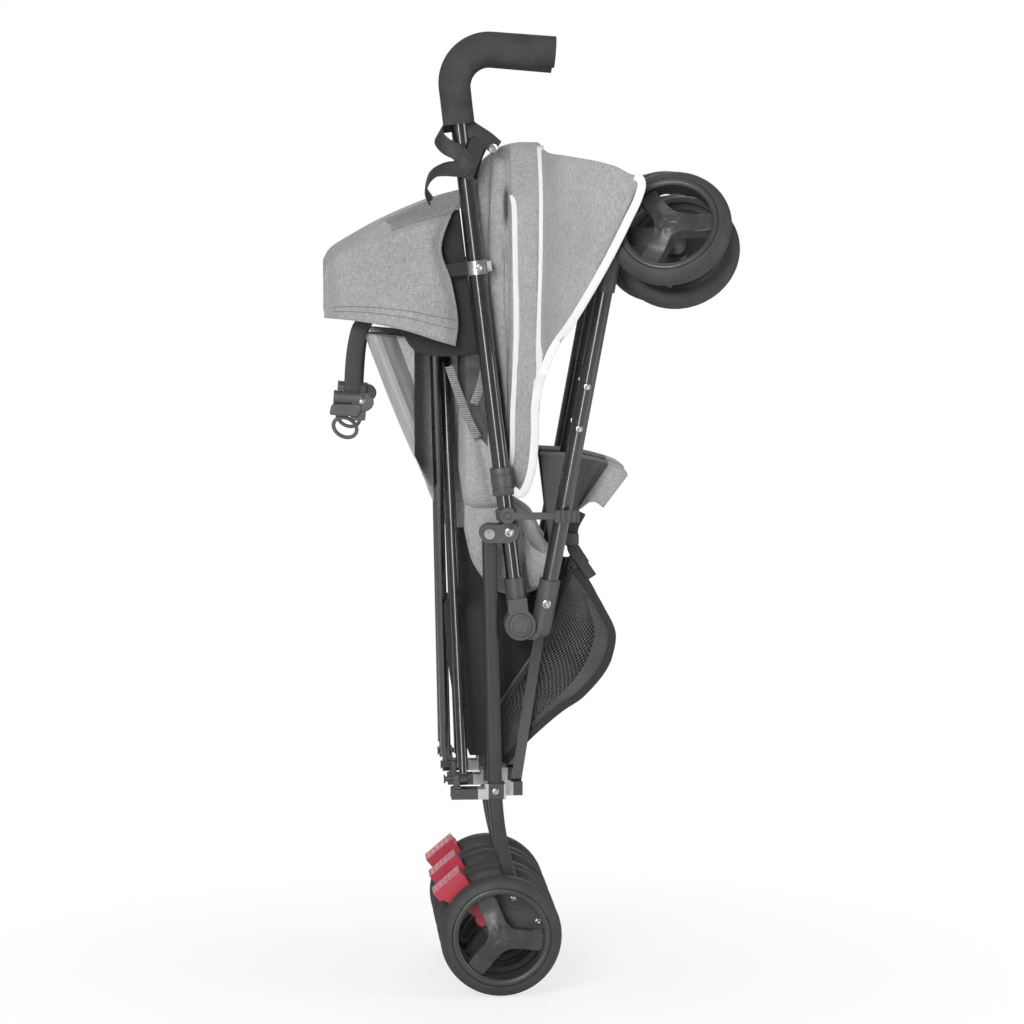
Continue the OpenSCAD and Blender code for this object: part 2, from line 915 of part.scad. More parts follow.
// Universal block between a leg bracket and the cross braces
module brace_swivel() {
    half = leg_w / 2 - swivel_gap;
    head_in = layer + brace_head_in;
    head_out = layer + brace_pin_end;
    color(plastic_col)
        at(brace_low) {
            bar_y(swivel_r, -half, half);
            bar_y(brace_pin_r, -half - swivel_stick, half + swivel_stick);
            rotate([0, brace_turn, 0]) {
                box(-swivel_neck, swivel_neck, -swivel_r, swivel_r, 0, pin_rise);
                translate([0, 0, pin_rise]) {
                    bar_x(swivel_r, -swivel_neck, swivel_neck);
                    bar_x(brace_pin_r, -head_out, head_out);
                    for (s = [-1, 1])
                        bar_x(brace_head_r, min(s * head_in, s * head_out), max(s * head_in, s * head_out));
                }
            }
        }
}

// A cross brace from the bracket of frame i towards the clamp of its neighbour
module cross_brace(i, side, at_x) {
    color(tube_col)
        place(i)
        at(brace_low)
        rotate([0, brace_turn, 0])
        translate([at_x, 0, pin_rise])
        rotate([-side * brace_swing, 0, 0])
        difference() {
            union() {
                bar_x(brace_eye_r, -brace_eye_t, brace_eye_t);
                translate([0, 0, brace_from])
                    cylinder(h = brace_len - brace_from, r = brace_r);
                translate([0, 0, brace_len])
                    sphere(r = brace_r);
            }
            bar_x(brace_pin_r + run_fit, -brace_r - eps, brace_r + eps);
            for (s = [0, 180])
                rotate([0, 0, s])
                    box(brace_eye_t, brace_trim, -brace_trim, brace_trim, -brace_trim, brace_flat_h);
        }
}

module seat_rail(i) {
    inn = inner_side[i];
    color(tube_col)
        translate([0, inn * rail_y, 0])
        at(rail_lug)
        rotate([0, rail_turn, 0])
        difference() {
            union() {
                bar_y(rail_eye_r, -rail_t / 2, rail_t / 2);
                box(-rail_w / 2, rail_w / 2, -rail_t / 2, rail_t / 2, 0, rail_len);
                translate([0, 0, rail_len])
                    bar_y(rail_eye_r, -rail_t / 2, rail_t / 2);
            }
            bar_y(rail_pin_r + run_fit, -rail_t, rail_t);
        }
}

module fold_latch() {
    color(plastic_col)
        place(0)
        on_tube(latch_at)
        rotate([0, push_lean, 0])
        difference() {
            union() {
                bar_y(latch_eye_r, -latch_in - latch_t, -latch_in);
                box(0, latch_len, -latch_in - latch_t, -latch_in, -latch_down, latch_up);
                box(clip_from, clip_to, -latch_in - latch_t - clip_t, -latch_in, -clip_down, clip_up);
            }
            bar_y(latch_pin_r + run_fit, -latch_in - 3 * latch_t, -latch_in + latch_t);
            for (k = [0:3])
                translate([latch_len + k * clip_pitch, 0, 0])
                    box(0, clip_groove, -latch_in - latch_t - clip_t - lap, -latch_in - latch_t - lap,
                        -clip_down - lap, clip_up + lap);
        }
}

// Closed soft solid through stations [along, low, high, near, far, step], with folds down its two broad sides
function soft_pow(v) = sign(v) * pow(abs(v), 0.55);
function soft_ring(s, n, waves, depth) = [for (k = [0:n - 1])
    let (t = 360 * k / n, c = soft_pow(cos(t)), d = soft_pow(sin(t)),
        deep = depth * min(1, (s[4] - s[3]) / fold_span))
    [s[0], (s[1] + s[2]) / 2 + c * (s[2] - s[1]) / 2,
        (s[3] + s[4]) / 2 + d * (s[4] - s[3]) / 2 + deep * sin(waves * c * 90 + 60 * s[5]) * abs(d)]];

module soft_body(stations, upright, waves, depth) {
    n = $fn / 2;
    m = len(stations);
    rings = [for (s = stations) soft_ring(s, n, waves, depth)];
    raw = concat([for (r = rings) for (p = r) p],
        [[stations[0][0], (stations[0][1] + stations[0][2]) / 2, (stations[0][3] + stations[0][4]) / 2],
        [stations[m - 1][0], (stations[m - 1][1] + stations[m - 1][2]) / 2,
        (stations[m - 1][3] + stations[m - 1][4]) / 2]]);
    pts = [for (p = raw) upright ? [p[1], p[2], p[0]] : [p[0], p[2], p[1]]];
    quads = concat(
        [for (j = [0:m - 2]) for (k = [0:n - 1]) [j * n + k, j * n + (k + 1) % n, (j + 1) * n + (k + 1) % n]],
        [for (j = [0:m - 2]) for (k = [0:n - 1]) [j * n + k, (j + 1) * n + (k + 1) % n, (j + 1) * n + k]],
        [for (k = [0:n - 1]) [m * n, (k + 1) % n, k]],
        [for (k = [0:n - 1]) [m * n + 1, (m - 1) * n + k, (m - 1) * n + (k + 1) % n]]);
    flipped = [for (f = quads) [f[2], f[1], f[0]]];
    polyhedron(points = pts, faces = upright ? flipped : quads);
}

// Stations of one stretch of cloth from a table of shares [along, low, high, near, far]
function cloth_run(shares, from, to, low, high, first) = [for (k = [0:len(shares) - 1])
    let (q = shares[k])
    [from + q[0] * (to - from), low + q[1] * (high - low), low + q[2] * (high - low),
        -q[3] * frame_pitch, -q[4] * frame_pitch, first + k]];

// Hood flap behind the push tube, from its free edge to the neck beside the tube
flap_shares = [[0, 0.27, 0.53, 0.93, 0.24], [0.03, 0.21, 0.59, 0.95, 0.23], [0.1, 0.19, 0.65, 0.99, 0.22],
    [0.25, 0.17, 0.71, 1.04, 0.21], [0.5, 0.14, 0.81, 1.1, 0.19], [0.755, 0.09, 0.91, 1.14, 0.17],
    [0.785, 0.61, 0.915, 1.14, 0.17], [0.9, 0.62, 0.95, 1.08, 0.17], [1, 0.64, 0.965, 0.97, 0.17]];
// Bunched pleats beside and in front of the push tube
pleat_shares = [[0, 0.712, 0.9, 0.957, 0.17], [0.09, 0.695, 0.915, 0.957, 0.17],
    [0.14, 0.58, 0.935, 0.875, 0.17], [0.21, 0.49, 0.955, 0.875, 0.17], [0.35, 0.38, 0.975, 0.875, 0.17],
    [0.47, 0.19, 0.99, 0.875, 0.17], [0.52, 0.05, 0.993, 0.875, 0.17], [0.6, 0, 0.997, 0.875, 0.17],
    [0.72, 0.03, 1, 0.89, 0.17], [0.86, 0.085, 1, 0.92, 0.17], [0.95, 0.27, 1, 0.96, 0.19]];
// Visor, carried outside the folded front wheel
visor_shares = [[0, 0.35, 0.997, 1.1, 0.34], [0.07, 0.385, 0.995, 1.3, 0.9], [0.2, 0.45, 0.99, 1.5, 1.3],
    [0.35, 0.525, 0.983, 1.64, 1.53], [0.55, 0.645, 0.97, 1.8, 1.71], [0.75, 0.745, 0.95, 1.86, 1.78],
    [0.9, 0.83, 0.925, 1.88, 1.8], [0.97, 0.87, 0.908, 1.88, 1.81], [1, 0.885, 0.9, 1.87, 1.82]];
// Seat back: the wedge behind the braces, the neck between them and the sling in front of them
wedge_shares = [[0, 0.79, 0.87, 0.8, 0.2], [0.07, 0.7, 0.94, 0.82, 0.18], [0.3, 0.51, 0.95, 0.832, 0.168],
    [0.6, 0.3, 0.95, 0.832, 0.168], [0.94, 0.05, 0.95, 0.832, 0.168], [1, 0.12, 0.94, 0.8, 0.2]];
neck_shares = [[0, 0.73, 0.88, 0.55, 0.45], [1, 0.73, 0.88, 0.55, 0.45]];
sling_shares = [[0, 0.2, 0.93, 0.8, 0.2], [0.14, 0.02, 1, 0.957, 0.168], [0.42, 0, 1, 0.957, 0.168],
    [0.64, 0, 0.9, 0.957, 0.168], [0.84, 0, 0.66, 0.957, 0.168], [0.96, 0.02, 0.36, 0.957, 0.168],
    [1, 0.05, 0.2, 0.92, 0.2]];
// Backing cloth behind the braces, from the wedge to the sling
backing_shares = [[0, -0.03, 0.81, 0.222, 0.17], [0.45, -0.28, 0.81, 0.223, 0.17],
    [1, -0.28, 0.81, 0.223, 0.17]];
// Seat base below the sling, and the calf flap that turns up in front of it
base_shares = [[0, 0.45, 0.66, 0.68, 0.32], [0.1, 0.24, 0.72, 0.71, 0.29], [0.28, 0.1, 0.72, 0.714, 0.286],
    [0.45, 0.02, 0.71, 0.714, 0.286], [0.6, 0, 0.67, 0.714, 0.286], [0.76, 0, 0.62, 0.714, 0.286],
    [0.91, 0.02, 0.56, 0.714, 0.286], [1, 0.04, 0.6, 0.714, 0.286]];
calf_shares = [[0.06, 0.06, 0.97, 0.714, 0.286], [0.14, 0.09, 1, 0.714, 0.286], [0.26, 0.1, 1, 0.714, 0.286],
    [0.45, 0.35, 0.995, 0.714, 0.286], [0.6, 0.53, 0.97, 0.714, 0.286], [0.74, 0.64, 0.945, 0.714, 0.286],
    [0.85, 0.73, 0.92, 0.714, 0.286], [0.96, 0.84, 0.885, 0.7, 0.3], [1, 0.86, 0.875, 0.69, 0.31]];
// Basket, from its lowest point up: along, low, high
basket_shares = [[0, 0, 0.03], [0.08, 0, 0.15], [0.19, 0, 0.35], [0.28, 0, 0.54], [0.35, 0.06, 0.72],
    [0.55, 0.29, 0.97], [0.65, 0.39, 1], [0.8, 0.5, 0.89], [0.95, 0.59, 0.72], [1, 0.62, 0.65]];
// Rear panel of the basket, which reaches back between the braces: along, low, high
panel_shares = [[0.02, -0.27, 0.02], [0.2, -0.38, 0.1], [0.4, -0.44, 0.24], [0.6, -0.48, 0.42],
    [0.78, -0.5, 0.56], [0.82, -0.47, 0.53]];
panel_near_share = 0.53;
panel_far_share = 0.455;

cloth_gap = 0.3;
strap_t = 1.6;
strap_swing = 8;
lock_w = 34;
lock_h = 24;
lock_t = 14;
ring_r = 12;
ring_wire = 2.2;
fold_span = 40;
cloth_lap = 6;
brace_gap = 4;
rail_space = 6;
bay_rail = rail_y + rail_t / 2 + rail_space;
canopy_z = hinge[1] + canopy_rise;
canopy_top = grip_low_z - canopy_gap;
flap_top_z = clamp_pt[1] + flap_rise;
pleat_rear = tube_x(flap_top_z) + cloth_lap;
pleat_front = pleat_rear + canopy_w;
flap_front = pleat_rear - flap_neck;
back_tuck = 22;
back_top = flap_top_z - flap_h + back_tuck;
back_front = brace_x(back_top) - layer - brace_r - brace_gap;
sling_gap = 14;
sling_low = leg_pivot[1] + lobe_r + sling_gap;
sling_rear = brace_x(sling_low) + layer + brace_r + brace_gap;
sling_front = tube_x(canopy_z) - cloth_lap / 2;
base_rise = 29;
base_low = hinge[1] + base_rise;

module cloth_tube_cut() {
    translate([0, -frame_pitch, 0]) {
        on_tube(0)
            cylinder(h = push_len, r = tube_r + cloth_gap);
        on_tube(clamp_at - clamp_h / 2 - cloth_gap)
            cylinder(h = clamp_h + 2 * cloth_gap, r = clamp_r + cloth_gap);
    }
}

// Carries the cloth of one bay to its frame: s is -1 for the near bay and 1 for the far one
module bay(s) {
    translate([0, 0, wheel_r])
        rotate([0, s > 0 ? 2 * stagger : 0, 0])
        translate([0, 0, -wheel_r])
        mirror([0, s > 0 ? 1 : 0, 0])
        children();
}

module canopy(s) {
    color(cloth_col)
        bay(s)
        difference() {
            soft_body(concat(
                cloth_run(flap_shares, flap_front - flap_len, flap_front, flap_top_z - flap_h, flap_top_z, 0),
                cloth_run(pleat_shares, pleat_rear, pleat_front, canopy_z, canopy_top, len(flap_shares)),
                cloth_run(visor_shares, pleat_front, pleat_front + visor_len, canopy_z, canopy_top,
                    len(flap_shares) + len(pleat_shares))), false, 3, fold_depth);
            cloth_tube_cut();
        }
}

module seat(s) {
    color(cloth_col)
        bay(s)
        difference() {
            union() {
                soft_body(concat(
                    cloth_run(wedge_shares, back_front - back_d, back_front, back_top - back_drop, back_top,
                        0),
                    cloth_run(neck_shares, back_front + lap, sling_rear - lap, back_top - back_drop, back_top,
                        len(wedge_shares)),
                    cloth_run(sling_shares, sling_rear, sling_front, sling_low, back_top + cloth_lap,
                        len(wedge_shares) + len(neck_shares))), false, 3, fold_depth);
                soft_body(cloth_run(backing_shares, back_front - cloth_lap, sling_rear + cloth_lap,
                    back_top - back_drop, back_top, 0), false, 3, fold_depth);
                soft_body(concat(
                    cloth_run(base_shares, sling_rear + cloth_lap, elbow[0], base_low, base_low + base_h, 0),
                    cloth_run(calf_shares, elbow[0], elbow[0] + calf_d, base_low, base_low + base_h,
                        len(base_shares))), false, 2, fold_depth / 2);
            }
            cloth_tube_cut();
        }
}

// Stations of one part of a basket from a table of shares [along, low, high], between two sides
function basket_run(shares, near, far) = [for (k = [0:len(shares) - 1])
    let (q = shares[k], rear = leg_knee[0] + basket_set)
    [brace_z + basket_rise + q[0] * basket_h, rear + q[1] * basket_d, rear + q[2] * basket_d, near, far, k]];

module basket(s) {
    color(mesh_col)
        bay(s)
        difference() {
            union() {
                soft_body(basket_run(basket_shares, rail_y - rail_t - frame_pitch, -bay_rail), true, 2,
                    fold_depth / 2);
                soft_body(basket_run(panel_shares, -panel_near_share * frame_pitch,
                    -panel_far_share * frame_pitch), true, 2, fold_depth / 2);
            }
            translate([0, -frame_pitch + rail_y, 0])
                at(rail_lug)
                rotate([0, rail_turn, 0])
                box(-rail_w / 2 - cloth_gap, rail_w / 2 + cloth_gap, -rail_t / 2 - cloth_gap,
                    rail_t / 2 + cloth_gap, 0, rail_len);
        }
}

strap_y_share = 0.727;
strap_seat_share = 0.5;

// Recline strap on the rear edge of the seat back, with its cord lock and pull ring
module recline_strap(s) {
    color(mesh_col)
        bay(s)
        translate([back_front - back_d - cloth_gap, -strap_y_share * frame_pitch, back_top]) {
            rotate([90, 0, 0])
                linear_extrude(height = strap_t, center = true)
                polygon([[-strap_w, 0], [0, 0], [0, -strap_seat_share * strap_drop],
                    [-strap_swing, -strap_drop], [-strap_w - strap_swing, -strap_drop]]);
            translate([-strap_w / 2 - strap_swing, 0, -strap_drop]) {
                box(-lock_w / 2, lock_w / 2, -lock_t / 2, lock_t / 2, -lock_h, 0);
                translate([0, 0, -lock_h - ring_r])
                    rotate([90, 0, 0])
                    rotate_extrude()
                    translate([ring_r, 0])
                    circle(r = ring_wire);
            }
        }
}

function shown(name) = node == "all" || node == name;

for (i = [0:2]) {
    if (shown(str(sides[i], "_push_tube")))
        place(i) push_tube(i);
    if (shown(str(sides[i], "_tube_fittings")))
        place(i) tube_fittings(i);
    if (shown(str(sides[i], "_front_leg")))
        place(i) front_leg(i);
    if (shown(str(sides[i], "_leg_ends")))
        place(i) leg_ends(i);
    if (shown(str(sides[i], "_caster_fork")))
        place(i) caster_fork(i);
    if (shown(str(sides[i], "_front_rims")))
        place(i) on_front_axle(i) rim_pair(front_gauge, front_spoke_turn);
    if (shown(str(sides[i], "_front_tyres")))
        place(i) on_front_axle(i) tyre_pair(front_gauge);
    if (shown(str(sides[i], "_rear_leg")))
        place(i) rear_leg();
    if (shown(str(sides[i], "_axle_housing")))
        place(i) axle_housing();
    if (shown(str(sides[i], "_brace_bracket")))
        place(i) brace_bracket(i);
    if (shown(str(sides[i], "_rear_rims")))
        place(i) at([0, wheel_r]) rim_pair(rear_gauge, rear_spoke_turn);
    if (shown(str(sides[i], "_rear_tyres")))
        place(i) at([0, wheel_r]) tyre_pair(rear_gauge);
    if (shown(str(sides[i], "_brake_pedal")))
        place(i) brake_pedal();
    if (shown(str(sides[i], "_brace_swivel")))
        place(i) brace_swivel();
    if (shown(str(sides[i], "_seat_rail")))
        place(i) seat_rail(i);
}
if (shown("near_grip"))
    place(0) grip();
if (shown("far_grip"))
    place(2) grip();
if (shown("near_front_brace"))
    cross_brace(0, 1, layer);
if (shown("near_rear_brace"))
    cross_brace(1, -1, -layer);
if (shown("far_front_brace"))
    cross_brace(1, 1, layer);
if (shown("far_rear_brace"))
    cross_brace(2, -1, -layer);
if (shown("near_canopy"))
    canopy(-1);
if (shown("far_canopy"))
    canopy(1);
if (shown("near_seat"))
    seat(-1);
if (shown("far_seat"))
    seat(1);
if (shown("near_basket"))
    basket(-1);
if (shown("far_basket"))
    basket(1);
if (shown("near_strap"))
    recline_strap(-1);
if (shown("far_strap"))
    recline_strap(1);
if (shown("fold_latch"))
    fold_latch();
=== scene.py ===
import math
import bmesh
import bpy
import numpy as np
from mathutils import Matrix, Vector


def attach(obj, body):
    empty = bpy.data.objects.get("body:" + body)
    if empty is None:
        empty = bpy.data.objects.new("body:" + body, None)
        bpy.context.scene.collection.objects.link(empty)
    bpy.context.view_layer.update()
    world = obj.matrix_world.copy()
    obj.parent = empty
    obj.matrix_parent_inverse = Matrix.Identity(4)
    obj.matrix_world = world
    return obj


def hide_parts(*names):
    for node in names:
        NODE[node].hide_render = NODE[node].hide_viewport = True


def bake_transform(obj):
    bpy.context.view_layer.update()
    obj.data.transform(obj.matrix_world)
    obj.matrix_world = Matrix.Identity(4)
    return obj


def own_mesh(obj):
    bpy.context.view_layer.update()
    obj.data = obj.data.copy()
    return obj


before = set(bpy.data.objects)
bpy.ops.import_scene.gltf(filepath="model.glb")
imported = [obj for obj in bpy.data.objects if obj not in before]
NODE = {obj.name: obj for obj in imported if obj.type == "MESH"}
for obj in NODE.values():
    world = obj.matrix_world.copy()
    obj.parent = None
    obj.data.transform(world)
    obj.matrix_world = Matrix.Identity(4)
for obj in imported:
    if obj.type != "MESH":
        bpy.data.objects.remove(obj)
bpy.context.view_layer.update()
FRAMES = ("near", "middle", "far")

# Sizes shared with the solids, in mm, with the turn between frames in degrees
PITCH, WHEEL_R, STAGGER = 110.0, 70.0, 0.35
HINGE = (23.6, 425.8)
LEAN = math.radians(6.9)
CANOPY_Z, CANOPY_TOP = 573.8, 976.8
FLAP_TOP, FLAP_H = 918.8, 176.0
BRACE_LOW = (-48.8, 233.0)
BRACE_TURN = math.radians(-2.19)
BRACE_SIDE = 18.0
LEG_START, LEG_LEN = np.array([48.4, 0, 421.4]), 443.0
LEG_TURN, LEG_SPLAY = math.radians(10.15), math.radians(5.0)

# Camera: viewing angles, focal length in pixels of the photograph's frame, and place in mm
PHOTO, SENSOR = 1024.0, 36.0
AZ, EL, F_PX = math.radians(-3.5), math.radians(5.0), 4007.0
BACK = np.array([math.sin(AZ) * math.cos(EL), -math.cos(AZ) * math.cos(EL), math.sin(EL)])
RIGHT = np.array([math.cos(AZ), math.sin(AZ), 0.0])
UP = np.cross(BACK, RIGHT)
EYE = np.array([-264.56, -4678.43, 955.24])

cam = bpy.data.objects.new("camera", bpy.data.cameras.new("camera"))
bpy.context.scene.collection.objects.link(cam)
cam.data.sensor_width = SENSOR
cam.data.lens = SENSOR * F_PX / PHOTO
axes = [[*map(float, (RIGHT[i], UP[i], BACK[i])), float(EYE[i]) / 1000] for i in range(3)]
cam.matrix_world = Matrix(axes + [[0, 0, 0, 1]])
bpy.context.scene.camera = cam


def pix(px, py, y):
    """Point in mm on the plane of that y, seen at a pixel of the photograph's frame."""
    ray = RIGHT * ((px - PHOTO / 2) / F_PX) - UP * ((py - PHOTO / 2) / F_PX) - BACK
    q = EYE + (y - EYE[1]) / ray[1] * ray
    return np.array([q[0], y, q[2]])


# Places in the three frames and the two bays
def turned(points, steps):
    """Points in mm, turned about the rear axle by that many steps between frames."""
    p = np.array(points, float).reshape(-1, 3).copy()
    a = math.radians(steps * STAGGER)
    x, z = p[:, 0].copy(), p[:, 2] - WHEEL_R
    p[:, 0] = x * math.cos(a) + z * math.sin(a)
    p[:, 2] = WHEEL_R - x * math.sin(a) + z * math.cos(a)
    return p


def bay(points, side):
    """Points in mm of the near bay, carried to the near or the far bay, in metres."""
    if side != "far":
        return np.array(points, float).reshape(-1, 3) / 1000.0
    p = turned(points, 2)
    p[:, 1] *= -1
    return p / 1000.0


def frame_turn(points, i):
    """Points in mm in the plane of frame i (0 near, 1 middle, 2 far), in metres."""
    p = turned(points, i)
    p[:, 1] += (i - 1) * PITCH
    return p / 1000.0


def in_frame(p, i):
    """One point in mm in the plane of frame i, in mm."""
    return frame_turn([p], i)[0] * 1000


# Mesh helpers
WELD = 1e-6
EDGE_ANGLE = math.radians(40)


def add_mesh(name, verts, faces, mat, smooth=True, flip=False):
    """New mesh object from points in metres."""
    me = bpy.data.meshes.new(name)
    faces = [tuple(reversed(f)) for f in faces] if flip else [tuple(f) for f in faces]
    me.from_pydata([tuple(v) for v in verts], [], faces)
    me.validate()
    for m in mat if isinstance(mat, (list, tuple)) else [mat]:
        me.materials.append(m)
    if smooth:
        me.polygons.foreach_set("use_smooth", [True] * len(me.polygons))
    ob = bpy.data.objects.new(name, me)
    bpy.context.scene.collection.objects.link(ob)
    return ob


def modified(ob, kind, **settings):
    """Applies one modifier to the mesh."""
    m = ob.modifiers.new(kind, kind)
    for k, v in settings.items():
        setattr(m, k, v)
    bpy.context.view_layer.update()
    me = bpy.data.meshes.new_from_object(ob.evaluated_get(bpy.context.evaluated_depsgraph_get()))
    ob.modifiers.clear()
    ob.data = me
    return ob


def grid_faces(nu, nv, wrap=False):
    """Quads of a grid of nu rows of nv points, closed along the rows where wrap is set."""
    out = []
    for i in range(nu - 1):
        for j in range(nv if wrap else nv - 1):
            k = (j + 1) % nv
            out.append((i * nv + j, (i + 1) * nv + j, (i + 1) * nv + k, i * nv + k))
    return out


def seam_faces(n, m, wrap=False):
    """Quads that join the last of n rows to the first."""
    last = (n - 1) * m
    return [(last + j, j, (j + 1) % m, last + (j + 1) % m) for j in range(m if wrap else m - 1)]


def end_faces(n, m):
    """Faces that close the first and the last of n rows."""
    return [tuple(range(m)), tuple((n - 1) * m + j for j in reversed(range(m)))]


def thicken(ob, t):
    """Gives a sheet its thickness in mm, half to each side."""
    return modified(ob, "SOLIDIFY", thickness=t / 1000.0, offset=0.0, use_rim=True)


def recalc(ob, weld=0.0):
    """Turns the faces outwards, after joining points that are closer than weld."""
    bm = bmesh.new()
    bm.from_mesh(ob.data)
    if weld:
        bmesh.ops.remove_doubles(bm, verts=bm.verts, dist=weld)
    bmesh.ops.recalc_face_normals(bm, faces=bm.faces)
    bm.to_mesh(ob.data)
    bm.free()
    return ob


def pchip(xs, ys, q):
    """Smooth curve through the points that doesn't overshoot."""
    xs, ys = np.array(xs, float), np.array(ys, float)
    h, s = np.diff(xs), np.diff(ys) / np.diff(xs)
    d = np.zeros_like(ys)
    for i in range(1, len(xs) - 1):
        if s[i - 1] * s[i] > 0:
            a, b = 2 * h[i] + h[i - 1], h[i] + 2 * h[i - 1]
            d[i] = (a + b) / (a / s[i - 1] + b / s[i])
    d[0], d[-1] = s[0], s[-1]
    q = np.clip(np.asarray(q, float), xs[0], xs[-1])
    k = np.clip(np.searchsorted(xs, q, side="right") - 1, 0, len(xs) - 2)
    t = (q - xs[k]) / h[k]
    return (ys[k] * (1 + 2 * t) * (1 - t) ** 2 + d[k] * h[k] * t * (1 - t) ** 2
            + ys[k + 1] * t * t * (3 - 2 * t) + d[k + 1] * h[k] * t * t * (t - 1))


def smooth_path(points, n):
    """n points evenly along a smooth curve through the points."""
    p = np.array(points, float)
    d = np.concatenate([[0], np.cumsum(np.linalg.norm(np.diff(p, axis=0), axis=1))])
    q = np.linspace(0, d[-1], n)
    return np.stack([pchip(d, p[:, k], q) for k in range(3)], 1)


def wave(x, z, k=0.0):
    """Soft wrinkles, the same each run."""
    return (np.sin(x * 0.061 + z * 0.017 + k) + 0.7 * np.sin(x * 0.023 - z * 0.041 + 1.7 * k + 2)
            + 0.5 * np.sin(z * 0.083 + x * 0.05 + 0.6 * k)) / 2.2


# Power that makes the sections of padded cloth rounder than a box and fuller than an ellipse
SQUARE = 0.55


def spow(v):
    return np.sign(v) * np.abs(v) ** SQUARE


def step(a, b, x):
    """Smooth step from 0 at a to 1 at b."""
    t = np.clip((x - a) / (b - a), 0, 1)
    return t * t * (3 - 2 * t)


def ridge(q, width):
    """Bell of height 1 about 0."""
    return np.exp(-(q / width) ** 2)


def sweep(name, path, section, mat, side="near", closed=False, ups=None):
    """Carries a closed section [(across, out)] in mm along a path in mm."""
    p = np.array(path, float)
    t = np.gradient(p, axis=0)
    if closed:
        t = np.roll(p, -1, 0) - np.roll(p, 1, 0)
    t /= np.linalg.norm(t, axis=1)[:, None]
    up = np.array(ups if ups is not None else [0, -1, 0], float)
    across = np.cross(np.broadcast_to(up, p.shape), t)
    across /= np.linalg.norm(across, axis=1)[:, None]
    out = np.cross(t, across)
    sec = np.array(section, float)
    v = p[:, None] + across[:, None] * sec[None, :, :1] + out[:, None] * sec[None, :, 1:]
    n, m = len(p), len(sec)
    faces = grid_faces(n, m, True)
    faces += seam_faces(n, m, True) if closed else end_faces(n, m)
    return recalc(add_mesh(name, bay(v, side), faces, mat))


def round_section(r, n):
    return [(r * math.cos(2 * math.pi * k / n), r * math.sin(2 * math.pi * k / n)) for k in range(n)]


def tape_section(w, t, n=9):
    """Flat tape with soft edges and a slight crown."""
    turns = [math.pi * (k / (n - 1) - 0.5) for k in range(n)]
    top = [(w / 2 * math.sin(a), t * (0.35 + 0.65 * math.cos(a))) for a in turns]
    return top + [(w / 2 * 0.97, -t * 0.35), (0.0, -t * 0.5), (-w / 2 * 0.97, -t * 0.35)]


def lathe(name, profile, centre, axis, mat, n):
    """Turns a profile [(radius, height)] in mm about an axis through a centre in mm."""
    a = np.array(axis, float)
    a /= np.linalg.norm(a)
    u = np.cross(a, [0.3, 0.2, 0.93])
    u /= np.linalg.norm(u)
    w = np.cross(a, u)
    ang = np.arange(n) * 2 * math.pi / n
    ring = np.cos(ang)[:, None] * u + np.sin(ang)[:, None] * w
    v = np.concatenate([np.array(centre) + ring * r + a * h for r, h in profile])
    faces = grid_faces(len(profile), n, True)
    closed = profile[0] == profile[-1]
    if profile[0][0] > WELD and not closed:
        faces.append(tuple(range(n)))
    if profile[-1][0] > WELD and not closed:
        faces.append(tuple((len(profile) - 1) * n + j for j in reversed(range(n))))
    ob = recalc(add_mesh(name, v / 1000.0, faces, mat), WELD)
    return modified(ob, "EDGE_SPLIT", split_angle=EDGE_ANGLE)


# Node helpers
WHITE = (1, 1, 1)


def fresh_tree(owner):
    owner.use_nodes = True
    owner.node_tree.nodes.clear()
    return owner.node_tree


def feed(nt, n, inputs):
    """Sets each named input of a node to a value, or links it to a socket."""
    for name, v in inputs.items():
        if isinstance(v, bpy.types.NodeSocket):
            nt.links.new(v, n.inputs[name])
        else:
            n.inputs[name].default_value = v


def node(nt, kind, inputs=None, **settings):
    n = nt.nodes.new(kind)
    for k, v in settings.items():
        setattr(n, k, v)
    feed(nt, n, inputs or {})
    return n


def base_mat(name):
    """New material with its node tree, its shader and the coordinates of the piece itself."""
    mat = bpy.data.materials.new(name)
    nt = fresh_tree(mat)
    b = node(nt, "ShaderNodeBsdfPrincipled")
    node(nt, "ShaderNodeOutputMaterial", {"Surface": b.outputs["BSDF"]})
    return mat, nt, b, node(nt, "ShaderNodeTexCoord").outputs["Object"]


def mapped(nt, co, scale, rot=(0, 0, 0)):
    return node(nt, "ShaderNodeMapping", {"Vector": co, "Scale": scale, "Rotation": rot}).outputs["Vector"]


def noise(nt, vec, scale, detail=3.0, rough=0.55):
    inputs = {"Vector": vec, "Scale": scale, "Detail": detail, "Roughness": rough}
    return node(nt, "ShaderNodeTexNoise", inputs).outputs["Fac"]


def bands(nt, co, pitch, direction, inputs):
    """Soft stripes of about that pitch in metres across one direction."""
    inputs = {"Vector": co, "Scale": 0.31 / pitch, **inputs}
    wave_node = node(nt, "ShaderNodeTexWave", inputs, wave_type="BANDS", bands_direction=direction)
    return wave_node.outputs["Fac"]


def ramp(nt, fac, stops):
    """Colour ramp through stops of (position, colour)."""
    r = node(nt, "ShaderNodeValToRGB", {"Fac": fac})
    el = r.color_ramp.elements
    while len(el) < len(stops):
        el.new(0.5)
    for e, (p, c) in zip(el, stops):
        e.position = p
        e.color = (*c, 1.0)
    return r.outputs["Color"]


def mathn(nt, op, a, b):
    return node(nt, "ShaderNodeMath", {0: a, 1: b}, operation=op).outputs[0]


def weighted(nt, parts):
    """Sum of sockets, each times its share."""
    total = None
    for socket, share in parts:
        part = mathn(nt, "MULTIPLY", socket, share)
        total = part if total is None else mathn(nt, "ADD", total, part)
    return total


def bump(nt, b, height, strength, dist, normal=None):
    inputs = {"Strength": strength, "Distance": dist, "Height": height}
    if normal is not None:
        inputs["Normal"] = normal
    feed(nt, b, {"Normal": node(nt, "ShaderNodeBump", inputs).outputs["Normal"]})


